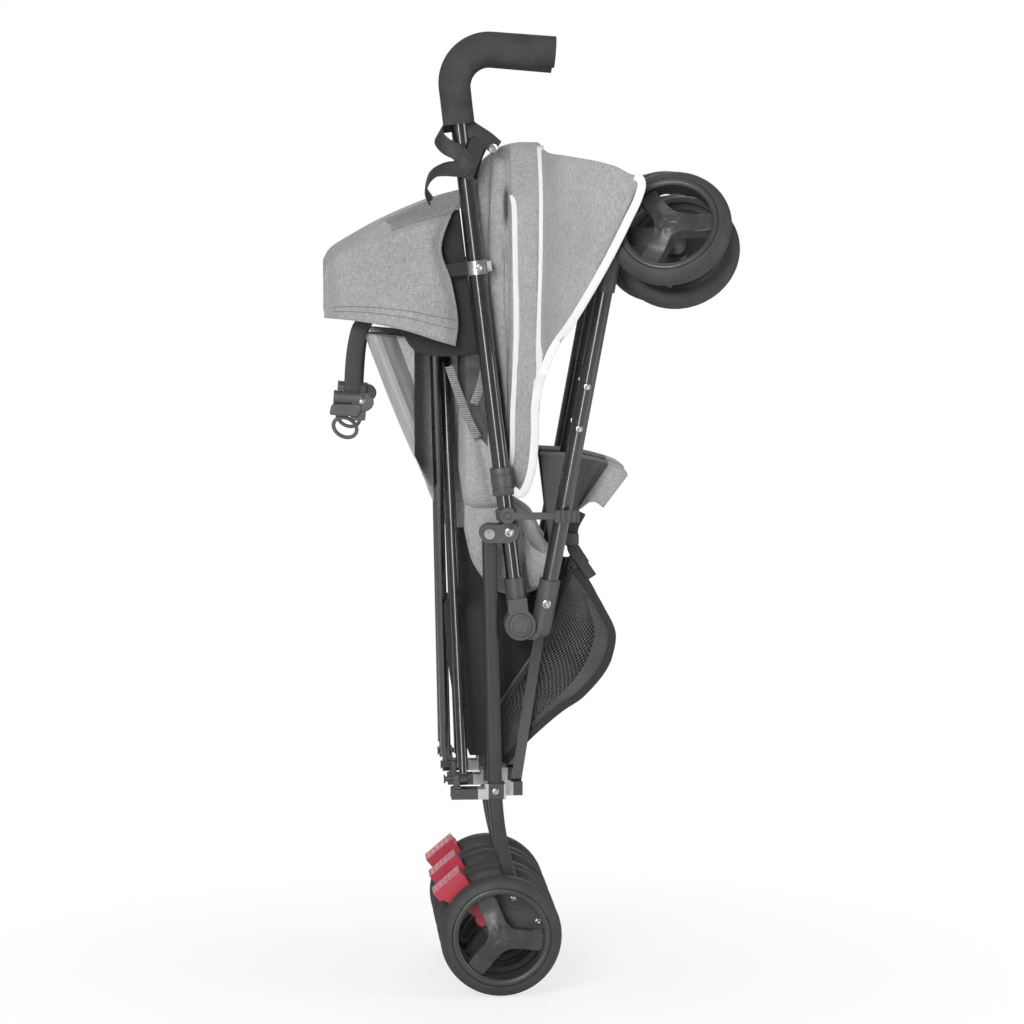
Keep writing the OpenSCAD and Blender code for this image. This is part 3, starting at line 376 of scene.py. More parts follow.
def grey(v, tint=WHITE):
    return tuple(v * t for t in tint)


# Materials: noise scales are per metre, depths of relief in metres
MOTTLE, SMEAR = 38.0, 90.0
COAT_ROUGH = 0.11
GRAIN_DEPTH, WEAVE_DEPTH, RIB_DEPTH, HOLE_DEPTH = 0.0004, 0.0006, 0.0005, 0.001
YARN_FINE, YARN_LONG, FLECK, WORN = 900, 130, 620.0, 16.0


def moulded(name, lo, hi, rough, grain=1400.0, strength=0.12, coat=0.0, edge=0.0, tint=WHITE, metal=0.0,
            spec=0.5, coat_ior=1.5):
    """Moulded or painted surface: mottled tone, uneven gloss, fine grain and softened edges."""
    mat, nt, b, co = base_mat(name)
    tone = ramp(nt, noise(nt, co, MOTTLE, 4.0), [(0.3, grey(lo, tint)), (0.7, grey(hi, tint))])
    gloss = [(0.3, grey(max(rough - 0.06, 0.03))), (0.75, grey(rough + 0.08))]
    feed(nt, b, {"Base Color": tone, "Roughness": ramp(nt, noise(nt, co, SMEAR), gloss), "Metallic": metal,
                 "Coat Weight": coat, "Coat Roughness": COAT_ROUGH, "Coat IOR": coat_ior,
                 "Specular IOR Level": spec})
    soft = node(nt, "ShaderNodeBevel", {"Radius": edge}, samples=4).outputs["Normal"] if edge else None
    bump(nt, b, noise(nt, co, grain, 2.0), strength, GRAIN_DEPTH, soft)
    return mat


def woven(name, lo, hi, pitch=0.0011, contrast=1.0, sheen=0.15, tint=WHITE, relief=0.35):
    """Heather cloth: mixed light and dark yarns, a plain weave and broad worn patches."""
    mat, nt, b, co = base_mat(name)
    warp = noise(nt, mapped(nt, co, (YARN_FINE, YARN_FINE, YARN_LONG)), 1.0, 3.0, 0.7)
    weft = noise(nt, mapped(nt, co, (YARN_LONG, YARN_FINE, YARN_FINE)), 1.0, 3.0, 0.7)
    mix = weighted(nt, [(warp, 0.36), (weft, 0.32), (noise(nt, co, FLECK, 2.0, 0.6), 0.22),
                        (noise(nt, co, WORN), 0.10)])
    half = 0.14 / contrast
    tone = [(0.5 - half, grey(lo, tint)), (0.5, grey((lo + hi) / 2, tint)), (0.5 + half, grey(hi, tint))]
    feed(nt, b, {"Base Color": ramp(nt, mix, tone), "Roughness": 0.85, "Sheen Weight": sheen,
                 "Sheen Roughness": 0.5, "Specular IOR Level": 0.25})
    across, along = [bands(nt, co, pitch, d, {"Distortion": 0.8, "Detail": 1.0}) for d in ("X", "Z")]
    weave = mathn(nt, "ADD", mathn(nt, "MULTIPLY", across, along), mathn(nt, "MULTIPLY", mix, 0.8))
    bump(nt, b, weave, relief, WEAVE_DEPTH)
    return mat


def satin(name, lo, hi, rough=0.4):
    """Smooth lining with long soft streaks."""
    mat, nt, b, co = base_mat(name)
    s = noise(nt, mapped(nt, co, (60, 60, 9), (0, math.radians(-25), 0)), 1.0)
    feed(nt, b, {"Base Color": ramp(nt, s, [(0.3, grey(lo)), (0.7, grey(hi))]),
                 "Roughness": ramp(nt, s, [(0.3, grey(rough - 0.06)), (0.7, grey(rough + 0.1))]),
                 "Sheen Weight": 0.2, "Specular IOR Level": 0.4})
    bump(nt, b, noise(nt, mapped(nt, co, (900, 900, 300)), 1.0, 2.0), 0.1, GRAIN_DEPTH)
    return mat


def ribbed(name, lo, hi, pitch, rough=0.6, relief=0.6):
    """Webbing: ribs across the band and a duller face."""
    mat, nt, b, co = base_mat(name)
    f = weighted(nt, [(bands(nt, co, pitch, "Z", {"Distortion": 0.4}), 0.5), (noise(nt, co, 300.0), 0.5)])
    feed(nt, b, {"Base Color": ramp(nt, f, [(0.3, grey(lo)), (0.7, grey(hi))]), "Roughness": rough,
                 "Sheen Weight": 0.1})
    bump(nt, b, f, relief, RIB_DEPTH)
    return mat


def dotted(name, hole, yarn, pitch):
    """Knitted net cloth: rows of small dark holes between paler yarns."""
    mat, nt, b, co = base_mat(name)
    inputs = {"Vector": co, "Scale": 1.0 / pitch, "Randomness": 0.12}
    far_off = node(nt, "ShaderNodeTexVoronoi", inputs, feature="F1").outputs["Distance"]
    feed(nt, b, {"Base Color": ramp(nt, far_off, [(0.25, grey(hole)), (0.5, grey(yarn))]), "Roughness": 0.7})
    bump(nt, b, far_off, 0.5, HOLE_DEPTH)
    return mat


GLOSS = moulded("powder_black", 0.008, 0.014, 0.30, 700.0, 0.006, coat=1.0, coat_ior=1.62)
SATIN_LEG = moulded("satin_black", 0.020, 0.028, 0.42, 900.0, 0.05, edge=0.0006)
PLASTIC = moulded("moulded_black", 0.050, 0.070, 0.44, 1500.0, 0.12, edge=0.0009)
RIM = moulded("rim_grey", 0.031, 0.043, 0.40, 1300.0, 0.10, edge=0.0010)
TREAD = moulded("tread", 0.026, 0.042, 0.66, 420.0, 0.30)
FOAM = moulded("grip_foam", 0.036, 0.054, 0.86, 620.0, 0.55, spec=0.25)
STEEL = moulded("plated_steel", 0.42, 0.58, 0.30, 500.0, 0.06, metal=1.0, edge=0.0006)
RED = moulded("pedal_red", 0.9, 1.1, 0.38, 900.0, 0.08, edge=0.0008, tint=(0.42, 0.030, 0.058))
PINK = moulded("pedal_rib", 0.9, 1.08, 0.5, 900.0, 0.12, edge=0.0006, tint=(0.62, 0.24, 0.28))
HEATHER = woven("heather_cloth", 0.205, 0.425, contrast=1.15)
FLAPCLOTH = woven("heather_flap", 0.185, 0.385, contrast=1.25)
# Darker copy of the flap's cloth, painted shade on the strip below the flap's top edge
FLAP_SHADE_CLOTH = woven("heather_painted_shade", 0.128, 0.268, contrast=1.25)
# Darker heather for the inside of the calf flap, painted shade
CALF_SHADE_CLOTH = woven("calf_painted_shade", 0.055, 0.105, contrast=0.9, relief=0.25)
TAPE = woven("white_binding", 0.64, 0.76, 0.0014, 0.8, sheen=0.05, relief=0.2, tint=(0.985, 0.995, 1.0))
SATIN_LIGHT = satin("satin_light", 0.28, 0.36)
SATIN_MID = satin("satin_mid", 0.105, 0.150)
WEB = ribbed("webbing", 0.013, 0.029, 0.0022)
NET = moulded("net_yarn", 0.095, 0.145, 0.55, 900.0, 0.2)
NETCLOTH = dotted("net_cloth", 0.016, 0.060, 0.0022)
STRIPE = ribbed("striped_trim", 0.05, 0.30, 0.0021, 0.7, 0.4)
BLACKCLOTH = woven("black_cloth", 0.020, 0.036, contrast=0.8, relief=0.2)
SEAM = woven("seam_thread", 0.13, 0.22, 0.0016, 0.8, relief=0.2)

# Finishes of the solids
FINISH = {"push_tube": GLOSS, "front_leg": GLOSS, "rear_leg": SATIN_LEG, "seat_rail": GLOSS,
          "front_brace": GLOSS, "rear_brace": GLOSS, "front_rims": RIM, "rear_rims": RIM,
          "front_tyres": TREAD, "rear_tyres": TREAD, "brake_pedal": RED, "brace_bracket": STEEL, "grip": FOAM}
for name, ob in NODE.items():
    ob.data.materials.clear()
    ob.data.materials.append(FINISH.get(name.split("_", 1)[1], PLASTIC))

# Middle of the brace bracket and its bare plated stretches on each side of that, in metres
BRACKET_MID, BARE_FROM, BARE_TO = -0.004, 0.0088, 0.021
BRACKET_PAINT = (0.045, 0.045, 0.046, 1)
# Clamp: its span along the push tube from the hinge, and where its black arm starts behind the tube
CLAMP_LOW, CLAMP_HIGH, CLAMP_ARM = 402, 422, -13.5
# Pin of the rear leg bracket, and the rib side of the pedal's pad
LEG_PIN, LEG_PIN_R, LEG_PIN_OUT = (-11.6, 0, 530.8), 6.4, 14.7
PAD, PAD_TURN, PAD_RIBS = (-60, 0, 127), 41, 0.4


def bracket_mat():
    """Plated steel, painted black except for two bare stretches."""
    mat = moulded("bracket_steel", 0.42, 0.58, 0.32, 500.0, 0.06, metal=1.0, edge=0.0006)
    nt = mat.node_tree
    b = next(n for n in nt.nodes if n.type == "BSDF_PRINCIPLED")
    co = next(n for n in nt.nodes if n.type == "TEX_COORD")
    x = node(nt, "ShaderNodeSeparateXYZ", {0: co.outputs["Object"]}).outputs["X"]
    off = mathn(nt, "ABSOLUTE", mathn(nt, "SUBTRACT", x, BRACKET_MID), 0.0)
    beyond, within = mathn(nt, "GREATER_THAN", off, BARE_FROM), mathn(nt, "LESS_THAN", off, BARE_TO)
    bare = mathn(nt, "MULTIPLY", beyond, within)
    steel = b.inputs["Base Color"].links[0].from_socket
    tone = node(nt, "ShaderNodeMix", {0: bare, 6: BRACKET_PAINT, 7: steel}, data_type="RGBA").outputs[2]
    feed(nt, b, {"Base Color": tone, "Metallic": bare})
    return mat


def paint(ob, mat, test):
    """Gives one more material to the faces of a node whose centre in mm passes the test."""
    ob.data.materials.append(mat)
    k = len(ob.data.materials) - 1
    for p in ob.data.polygons:
        if test(np.array(p.center) * 1000.0):
            p.material_index = k


def paint_frame(i, s):
    """Second finishes on the fittings and the pedal of one frame."""
    a = -LEAN + math.radians(i * STAGGER)
    along = np.array([math.sin(a), 0, math.cos(a)])
    ahead = np.array([math.cos(a), 0, -math.sin(a)])
    hinge, pin, pad = [in_frame(p, i) for p in ((HINGE[0], 0, HINGE[1]), LEG_PIN, PAD)]
    t = math.radians(PAD_TURN - i * STAGGER)
    up = np.array([-math.sin(t), 0, math.cos(t)])

    def clamp(c):
        return CLAMP_LOW < (c - hinge) @ along < CLAMP_HIGH

    def pin_head(c):
        return math.hypot(c[0] - pin[0], c[2] - pin[2]) < LEG_PIN_R and abs(c[1] - pin[1]) > LEG_PIN_OUT

    fittings = NODE[s + "_tube_fittings"]
    paint(fittings, STEEL, lambda c: clamp(c) and (c - hinge) @ ahead > CLAMP_ARM)
    paint(fittings, BLACKCLOTH, lambda c: clamp(c) and (c - hinge) @ ahead < CLAMP_ARM)
    paint(fittings, STEEL, pin_head)
    paint(NODE[s + "_brake_pedal"], PINK, lambda c: (c - pad) @ up > PAD_RIBS)


BRACKET = bracket_mat()
for i, s in enumerate(FRAMES):
    NODE[s + "_brace_bracket"].data.materials[0] = BRACKET
    paint_frame(i, s)

# Lights, floor and background, in metres and watts
WORLD_LIGHT = 0.25
LIGHTS = {
    "softbox": dict(loc=(-0.75, -2.95, 0.80), size=(0.42, 2.40), power=34),
    "key": dict(loc=(-1.25, -2.60, 1.90), size=(1.00, 1.00), power=56),
    "right": dict(loc=(2.30, -0.90, 1.20), size=(0.90, 1.80), power=24),
    "back": dict(loc=(0.40, 2.50, 2.00), size=(1.60, 1.60), power=30),
    "top": dict(loc=(0.00, 0.20, 3.00), size=(1.20, 1.20), power=10),
}
LIGHT_AIM = (0.0, 0.0, 0.58)
FLOOR_R, FLOOR_Z, FLOOR_SIDES = 7.0, -0.0006, 96
FLOOR_TONE = (0.86, 0.86, 0.86, 1)
FLOOR_FADE = {"From Min": 0.12, "From Max": 0.75, "To Min": 0.74, "To Max": 1.0}


def seen_or_lit(nt, output, seen, lit, shown):
    """One shader for light, another for what the camera sees."""
    mix = node(nt, "ShaderNodeMixShader", {0: seen, 1: lit.outputs[0], 2: shown.outputs[0]})
    node(nt, output, {"Surface": mix.outputs[0]})


def studio_world():
    world = bpy.data.worlds.new("studio")
    bpy.context.scene.world = world
    nt = fresh_tree(world)
    rays = node(nt, "ShaderNodeLightPath").outputs
    seen = mathn(nt, "MAXIMUM", rays["Is Camera Ray"], rays["Is Transmission Ray"])
    lit, shown = [node(nt, "ShaderNodeBackground", {"Color": (*WHITE, 1), "Strength": strength})
                  for strength in (WORLD_LIGHT, 1.0)]
    seen_or_lit(nt, "ShaderNodeOutputWorld", seen, lit, shown)


def area_light(name, loc, size, power):
    data = bpy.data.lights.new(name, "AREA")
    data.shape = "RECTANGLE"
    data.size, data.size_y = size
    data.energy = power
    ob = bpy.data.objects.new(name, data)
    bpy.context.scene.collection.objects.link(ob)
    aim = Vector(loc) - Vector(LIGHT_AIM)
    ob.matrix_world = Matrix.Translation(loc) @ aim.to_track_quat("Z", "Y").to_matrix().to_4x4()


def pale_floor():
    """A pale disc that takes a soft shadow and fades into the background."""
    turns = [2 * math.pi * k / FLOOR_SIDES for k in range(FLOOR_SIDES)]
    rim = [(FLOOR_R * math.cos(a), FLOOR_R * math.sin(a), FLOOR_Z) for a in turns]
    floor = add_mesh("floor", rim, [range(FLOOR_SIDES)], [])
    mat = bpy.data.materials.new("floor_pale")
    nt = fresh_tree(mat)
    lit = node(nt, "ShaderNodeBsdfDiffuse", {"Color": FLOOR_TONE})
    shown = node(nt, "ShaderNodeEmission", {"Strength": 1.0})
    co = node(nt, "ShaderNodeTexCoord").outputs["Object"]
    reach = node(nt, "ShaderNodeVectorMath", {0: co}, operation="LENGTH").outputs["Value"]
    fade = node(nt, "ShaderNodeMapRange", {"Value": reach, **FLOOR_FADE}, interpolation_type="SMOOTHSTEP")
    rays = node(nt, "ShaderNodeLightPath").outputs
    seen = mathn(nt, "MULTIPLY", rays["Is Camera Ray"], fade.outputs["Result"])
    seen_or_lit(nt, "ShaderNodeOutputMaterial", seen, lit, shown)
    floor.data.materials.append(mat)


studio_world()
for name, light in LIGHTS.items():
    area_light(name, **light)
pale_floor()


# Lines of the tubes, and the sizes of the cloth that follow from them, in mm
def tube_x(z):
    """x of the push tube at a height."""
    return HINGE[0] - (z - HINGE[1]) * math.tan(LEAN)


def brace_x(z):
    """x of the brace at a height."""
    return BRACE_LOW[0] + (z - BRACE_LOW[1]) * math.tan(BRACE_TURN)


BAY_MID, BACK_DEEP, CLOTH = -PITCH / 2, 66, 1.4
PLEAT_REAR = tube_x(FLAP_TOP) + 6
PLEAT_FRONT = PLEAT_REAR + 80
VISOR_END = PLEAT_FRONT + 102
BACK_TOP = FLAP_TOP - FLAP_H + 22
BACK_FRONT = brace_x(BACK_TOP) - BRACE_SIDE
BACK_REAR = BACK_FRONT - BACK_DEEP
SLING_LOW = 555.8
SLING_REAR = brace_x(SLING_LOW) + BRACE_SIDE
SLING_FRONT = tube_x(CANOPY_Z) - 3

# Width below which folds get shallower
THIN = 40


def run(shares, x0, x1, z0, z1):
    """Stations (x, low, high, near, far) of one stretch of cloth from a table of shares."""
    return [(x0 + x * (x1 - x0), z0 + low * (z1 - z0), z0 + high * (z1 - z0), -near * PITCH, -far * PITCH)
            for x, low, high, near, far in shares]


def outward(side):
    """Sign of y away from the middle of the part; the middle frame counts as near."""
    return 1 if side == "far" else -1


def carried(ob, name, side, solid=None, blend=True):
    """Names a soft piece of one bay and hides its solid, then bakes its place into its mesh, or lets it ride
    on its own frame.
    """
    ob.name = ob.data.name = name
    if solid:
        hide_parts(solid)
    if blend:
        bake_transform(ob)
    else:
        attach(ob, side + "_frame")
    return ob


def fixed(ob, body):
    """Lets a piece ride on one body."""
    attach(ob, body)
    return ob


def sheet_grid(name, points, mats, side, flip=False):
    """One-sided sheet through a grid of points in mm."""
    nu, nv = points.shape[:2]
    return add_mesh(name, bay(points, side), grid_faces(nu, nv), mats, flip=flip)


def ribbon(name, path, width, thick, mat, side, blend=False):
    """A flat tape or strap along a path in mm."""
    ob = sweep(name, path, tape_section(width, thick), mat, side)
    return carried(ob, name, side, blend=blend)


def padded_section(xs, turns, zl, zh, yn, yf):
    """Points round each section, their share to a side, and the share of folds that a thin one keeps."""
    c, d = spow(np.cos(turns))[None], spow(np.sin(turns))[None]
    x = np.repeat(xs[:, None], len(turns), 1)
    z = (zl + zh)[:, None] / 2 + c * (zh - zl)[:, None] / 2
    y = (yn + yf)[:, None] / 2 + d * (yf - yn)[:, None] / 2
    return x, y, z, d, np.minimum(1, (yf - yn) / THIN)[:, None]


# The hood: shares of its length, low and high edge, and near and far side, along its pleats and its visor
PLEATS = [(0.02, 0.70, 0.90, 0.90, 0.17), (0.09, 0.66, 0.915, 0.895, 0.17), (0.14, 0.58, 0.935, 0.88, 0.17),
          (0.21, 0.49, 0.955, 0.875, 0.17), (0.35, 0.38, 0.975, 0.875, 0.17), (0.47, 0.19, 0.99, 0.875, 0.17),
          (0.52, 0.05, 0.993, 0.88, 0.17), (0.6, 0.0, 0.997, 0.9, 0.17), (0.72, 0.0, 1.0, 0.93, 0.17),
          (0.86, 0.04, 1.0, 0.98, 0.17), (0.95, 0.2, 1.0, 1.03, 0.19)]
VISOR = [(0, 0.35, 0.985, 1.12, 0.34), (0.07, 0.385, 0.968, 1.3, 0.9), (0.2, 0.45, 0.962, 1.5, 1.3),
         (0.35, 0.525, 0.955, 1.64, 1.53), (0.55, 0.645, 0.945, 1.8, 1.71), (0.75, 0.745, 0.93, 1.86, 1.78),
         (0.9, 0.83, 0.91, 1.88, 1.8), (0.97, 0.87, 0.905, 1.88, 1.81), (1, 0.885, 0.9, 1.87, 1.82)]
HOOD = np.array(run(PLEATS, PLEAT_REAR, PLEAT_FRONT, CANOPY_Z, CANOPY_TOP)
                + run(VISOR, PLEAT_FRONT, VISOR_END, CANOPY_Z, CANOPY_TOP))
LOBE_REAR, LOBE_FRONT, LOBE_DEEP = -31.0, 13.0, 9.0
SLOT_AT, SLOT_DEEP, SLOT_WIDE = pix(509, 208, -118.0), 15.0, 3.2
PANEL_RISE = 7.0
# Pinches across the lobes: depth, height, lean and width
PINCHES = ((5.0, 868, -0.8, 9.0), (4.0, 792, 0.5, 11.0))
# Grooves down the front panel: depth, place in x and z, lean and width
DENT, DRAPE = (3.2, 54, 800, 0.02, 6.0), (2.4, 88, 880, 0.45, 14.0)
# Degrees of its section, each way from the top, that the hood covers
HOOD_OPEN = 163


def hood_at(x):
    """Low and high edge, near and far side of the hood at x."""
    return [pchip(HOOD[:, 0], HOOD[:, k], x) for k in range(1, 5)]


def groove(x, z, depth, at_x, at_z, lean, width):
    return depth * ridge(x - at_x - (z - at_z) * lean, width)


def hood_fold(x, z):
    """Inward set of the near side: two rolled lobes behind the flat front panel, and soft wrinkles."""
    inside = 1 - step(LOBE_FRONT - 2, LOBE_FRONT + 2, x)
    k = (x - LOBE_REAR - 0.02 * (z - 780)) / (LOBE_FRONT - LOBE_REAR)
    valley = 0.5 + 0.05 * np.sin(z * 0.021) - 0.0006 * (z - 800)
    s = np.where(k < valley, 2 * k / valley - 1, 2 * (k - valley) / (1 - valley) - 1)
    roll = LOBE_DEEP * (1 - np.sqrt(np.maximum(1 - 0.97 * np.clip(s, -1, 1) ** 2, 0)))
    pinch = sum(depth * ridge(z - at - lean * x, width) for depth, at, lean, width in PINCHES)
    gap = SLOT_DEEP * ridge(x - SLOT_AT[0], SLOT_WIDE)
    gap = gap * step(SLOT_AT[2] - 22, SLOT_AT[2] - 8, z) * step(SLOT_AT[2] + 22, SLOT_AT[2] + 14, z)
    deep = inside * (1.0 + roll + pinch) + gap
    panel = -PANEL_RISE * step(LOBE_FRONT - 0.5, LOBE_FRONT + 2.5, x) * (1 - step(40, 50, x))
    dent = groove(x, z, *DENT) * step(700, 900, z)
    drape = groove(x, z, *DRAPE) * step(980, 880, z)
    return deep + panel + dent + drape + 1.3 * wave(x, z) * (0.5 + 0.8 * inside)


def hood_near(x, z, lift):
    """y of the near face of the hood at x and z."""
    zl, zh, yn, yf = hood_at(x)
    c = np.clip((2 * z - zl - zh) / (zh - zl), -0.999, 0.999)
    ct = np.abs(c) ** (1 / SQUARE)
    d = -np.sqrt(np.maximum(1 - ct * ct, 0)) ** SQUARE
    return (yn + yf) / 2 + d * (yf - yn) / 2 + hood_fold(x, z) * np.abs(d) - lift


def hood_sheet(side):
    """The folded hood, one sheet round its near side, top and far side, open below."""
    xs = np.concatenate([np.linspace(HOOD[0, 0], 16, 72), np.linspace(16.6, 60, 44),
                         np.linspace(62, VISOR_END - 0.5, 56)])
    turns = np.radians(np.linspace(-HOOD_OPEN, HOOD_OPEN, 100))
    x, y, z, d, thin = padded_section(xs, turns, *hood_at(xs))
    fold = hood_fold(x, z) * np.abs(d)
    y = y + np.where(d < 0, fold, -0.6 * fold * thin)
    ob = sheet_grid("hood", np.stack([x, y, z], -1), HEATHER, side, flip=side == "near")
    return carried(thicken(ob, CLOTH), side + "_hood", side, side + "_canopy")


# The flap at the rear of the hood: its top edge and hem in x and z, and the front end of each side by height
FLAP_REAR, FLAP_FRONT = -199.0, -36
FLAP_EDGE = [-199, -193, -175, -130, -79, -44, -22], [838, 849, 862, 887, 909, 919, 923]
FLAP_HEM = [-199, -170, -113, -68, -45], [777, 775, 765, 751, 744]
FLAP_NEAR_END = [0, 0.1, 0.35, 0.6, 0.8, 1.0], [-50, -47, -54, -66, -58, -36]
FLAP_FAR_END = [0, 0.25, 0.5, 1], [-36, -64, -94, -94]
# Shares of the way round at which the near side ends and the far side starts, and the y of each stretch
FLAP_NEAR, FLAP_OVER = 0.42, 0.62
FLAP_NEAR_Y, FLAP_TOP_Y, FLAP_FAR_Y, FLAP_MID_Y = -104, -87, -30, -62


def flap_points():
    """Rear of the hood: draped over the seat back from its near hem, over the top, to its far hem."""
    nu, nv = 72, 96
    u = np.linspace(0, 1, nu)
    bulge = 21 * step(0, 0.5, u)
    P = np.zeros((nu, nv, 3))
    for j, a in enumerate(np.linspace(0, 1, nv)):
        if a < FLAP_NEAR:
            k = a / FLAP_NEAR
            x = FLAP_REAR + u * (pchip(*FLAP_NEAR_END, k) - FLAP_REAR)
            low, top = pchip(*FLAP_HEM, x), pchip(*FLAP_EDGE, x)
            z = low + (top - low) * k ** 0.85
            crease = 12.0 * step(0.83, 0.845, k) * step(0.3, 0.55, u)
            curl = 9.0 * step(0.84, 1.0, u) ** 2 * (1 - step(0.8, 0.95, k))
            y = FLAP_NEAR_Y - bulge + 12 * step(0.85, 1.0, k) + crease + curl - 2.0 * step(0.5, 0.78, k)
        elif a < FLAP_OVER:
            k = (a - FLAP_NEAR) / (FLAP_OVER - FLAP_NEAR)
            x = FLAP_REAR + u * (FLAP_FRONT - FLAP_REAR)
            z = pchip(*FLAP_EDGE, x) + 5 * math.sin(math.pi * k) * (1 - u * 0.5)
            y = (FLAP_TOP_Y - bulge - 2.0) * (1 - k) + FLAP_FAR_Y * k
        else:
            k = (a - FLAP_OVER) / (1 - FLAP_OVER)
            x = FLAP_REAR + u * (pchip(*FLAP_FAR_END, k) - FLAP_REAR)
            top = pchip(*FLAP_EDGE, x)
            z = top + (pchip(*FLAP_HEM, x) + 6 - top) * k
            y = np.full(nu, FLAP_FAR_Y + 10 * step(0, 0.3, k))
        y = y + (1 - step(0.0, 0.12, u)) * 0.35 * (FLAP_MID_Y - y)
        P[:, j] = np.stack([x, y + 1.8 * wave(x, z, 3.0) * (1 if a < FLAP_OVER else 0.6), z], -1)
    return P


# White bindings, in pixels of the photograph's frame
TAPE_REAR = [(513.5, 195), (515.5, 206), (516.5, 260), (517.5, 330), (516, 380), (514, 420), (514, 450),
             (512.5, 478), (512, 490)]
TAPE_FRONT = [(542, 146), (543, 200), (542.5, 260), (541, 320), (539, 370), (536, 400)]
VISOR_TAPE = [(634, 176.5), (639, 178), (641.5, 184), (638.5, 196), (628, 219), (612, 252), (593, 288),
              (573.5, 321), (551, 355), (540, 382), (535, 410), (535, 432), (533, 460), (527, 485),
              (520, 494), (513, 490)]
VISOR_TAPE_Y = [-205] * 7 + [-188, -165, -143, -131, -124, -119, -115, -114, -113]
TAPE_LIFT, TAPE_SMOOTH = 0.9, 17


def on_hood(px_path):
    """Path on the near face of the hood, from pixels of the photograph's frame."""
    q = smooth_path([pix(px, py, -125.0) for px, py in px_path], 90)
    q[:, 1] = hood_near(q[:, 0], q[:, 2], TAPE_LIFT)
    return q


def visor_path():
    """Path along the edge of the visor, kept just outside its cloth."""
    q = smooth_path([pix(*p, y) for p, y in zip(VISOR_TAPE, VISOR_TAPE_Y)], 150)
    for point in q:
        if point[0] > PLEAT_FRONT + 5:
            yn, yf = [float(v) for v in hood_at(point[0])[2:]]
            point[1] = min((yn + yf) / 2 - 6.5, yn + 2)
    even = np.ones(TAPE_SMOOTH) / TAPE_SMOOTH
    q[:, 1] = np.convolve(np.pad(q[:, 1], TAPE_SMOOTH // 2, mode="edge"), even, "valid")
    return q


# Painted shade: a darker copy of the flap's cloth on the strip below its top edge, where the cloth turns away
# from the light, in rows and columns of its grid
SHADE_FROM = 27
SHADE_ROWS = (34, 42)
SHADE_TAPER = 0.8


def hood_flap(side):
    P = flap_points()
    flap = sheet_grid("flap", P, [FLAPCLOTH, FLAP_SHADE_CLOTH], side, flip=side == "near")
    # Faces of the strip below the top edge take the darker cloth, as painted shade
    for p in flap.data.polygons:
        i, j = np.min([divmod(k, P.shape[1]) for k in p.vertices], axis=0)
        low = max(SHADE_ROWS[0], SHADE_ROWS[1] - SHADE_TAPER * (i - SHADE_FROM))
        p.material_index = int(i >= SHADE_FROM and low <= j < SHADE_ROWS[1])
    flap = carried(thicken(flap, CLOTH), side + "_hood_flap", side, side + "_canopy")
    for name, row in (("hem", P[4:-1, 5]), ("hem_edge", P[4:-1, 3])):
        line = sweep(name, row + np.array([0, -1.0, 0]), tape_section(0.8, 0.4, 5), SEAM, side)
        carried(line, "%s_flap_%s" % (side, name), side, blend=False)
    return flap


# Black lining behind the flap; its low edge reaches below the flap's hem, a sheet of painted shade under it
LINING_REAR, LINING_Y, LINING_TOP = -113.0, -100.6, 900
LINING_SHADE_LOW = [-113, -106, -96, -84, -60, -20], [772, 752, 740, 735, 733, 738]


def hood_lining_and_shade(side, flap):
    """Dark lining between the flap and the tube, whose low edge hangs below the flap's hem as a black sheet
    of painted shade.
    """
    nu, nv = 24, 40
    G = np.zeros((nu, nv, 3))
    for j, k in enumerate(np.linspace(0, 1, nv)):
        x = np.linspace(LINING_REAR, tube_x(716 + 184 * k) - 11.5, nu)
        low = pchip(*LINING_SHADE_LOW, x)
        z = low + (np.minimum(pchip(*FLAP_EDGE, x) - 16, LINING_TOP) - low) * k
        G[:, j] = np.stack([x, LINING_Y + 0.5 * wave(x, z, 2), z], -1)
    lining = thicken(sheet_grid("lining", G, BLACKCLOTH, side), 0.9)
    carried(lining, side + "_hood_lining_and_shade", side, blend=False)


def make_hood(side):
    hood = hood_sheet(side)
    bindings = [ribbon(side + "_binding_" + name, path, width, thick, TAPE, side)
                for name, path, width, thick in (("rear", on_hood(TAPE_REAR), 6.6, 1.0),
                                                 ("front", on_hood(TAPE_FRONT), 8.2, 1.0),
                                                 ("visor", visor_path(), 9.5, 1.3))]
    hood_lining_and_shade(side, hood_flap(side))


# The seat
def loft(name, stations, nx, nv, mats, side, fold):
    """Closed padded cloth through stations along x, with folds given by a function of x and z."""
    s = np.array(stations)
    xs = np.linspace(s[0, 0], s[-1, 0], nx)
    zl, zh, yn, yf = [pchip(s[:, 0], s[:, k], xs) for k in range(1, 5)]
    x, y, z, d, thin = padded_section(xs, np.arange(nv) * 2 * math.pi / nv, zl, zh, yn, yf)
    y = y - np.sign(d) * fold(x, z) * np.abs(d) * thin
    v = np.stack([x, y, z], -1).reshape(-1, 3)
    n = nx * nv
    ends = [[xs[k], (yn[k] + yf[k]) / 2, (zl[k] + zh[k]) / 2] for k in (0, -1)]
    faces = grid_faces(nx, nv, True) + [(n, (k + 1) % nv, k) for k in range(nv)]
    faces += [(n + 1, (nx - 1) * nv + k, (nx - 1) * nv + (k + 1) % nv) for k in range(nv)]
    points = np.concatenate([v, ends])
    return recalc(add_mesh(name, bay(points, side), faces, mats)), points


def edge_point(edge, at, k, y):
    """Point at share k along an edge given in pixels of the photograph's frame, on the plane of that y."""
    return pix(*[float(pchip(at, c, k)) for c in edge], y)


# Bands of the seat back, measured from its outer edge, and the depth that it folds to
BAND_EDGES, BAND_SWELL, BAND_SLACK = (17.0, 36.0), 2.6, 0.6
BACK_ROWS = [0, 1.5, 4, 8, 12, 15, 16.5, 17.5, 20, 25, 30, 34, 35.5, 36.5, 39, 44, 50, 56, 61, BACK_DEEP]
BACK_HALF, BACK_ROUND, BACK_ROOM = 36.5, 9.0, 9.0
WEDGE_TIP = (-78.5, 578.0)
BACK_STOP = SLING_REAR - 3.0


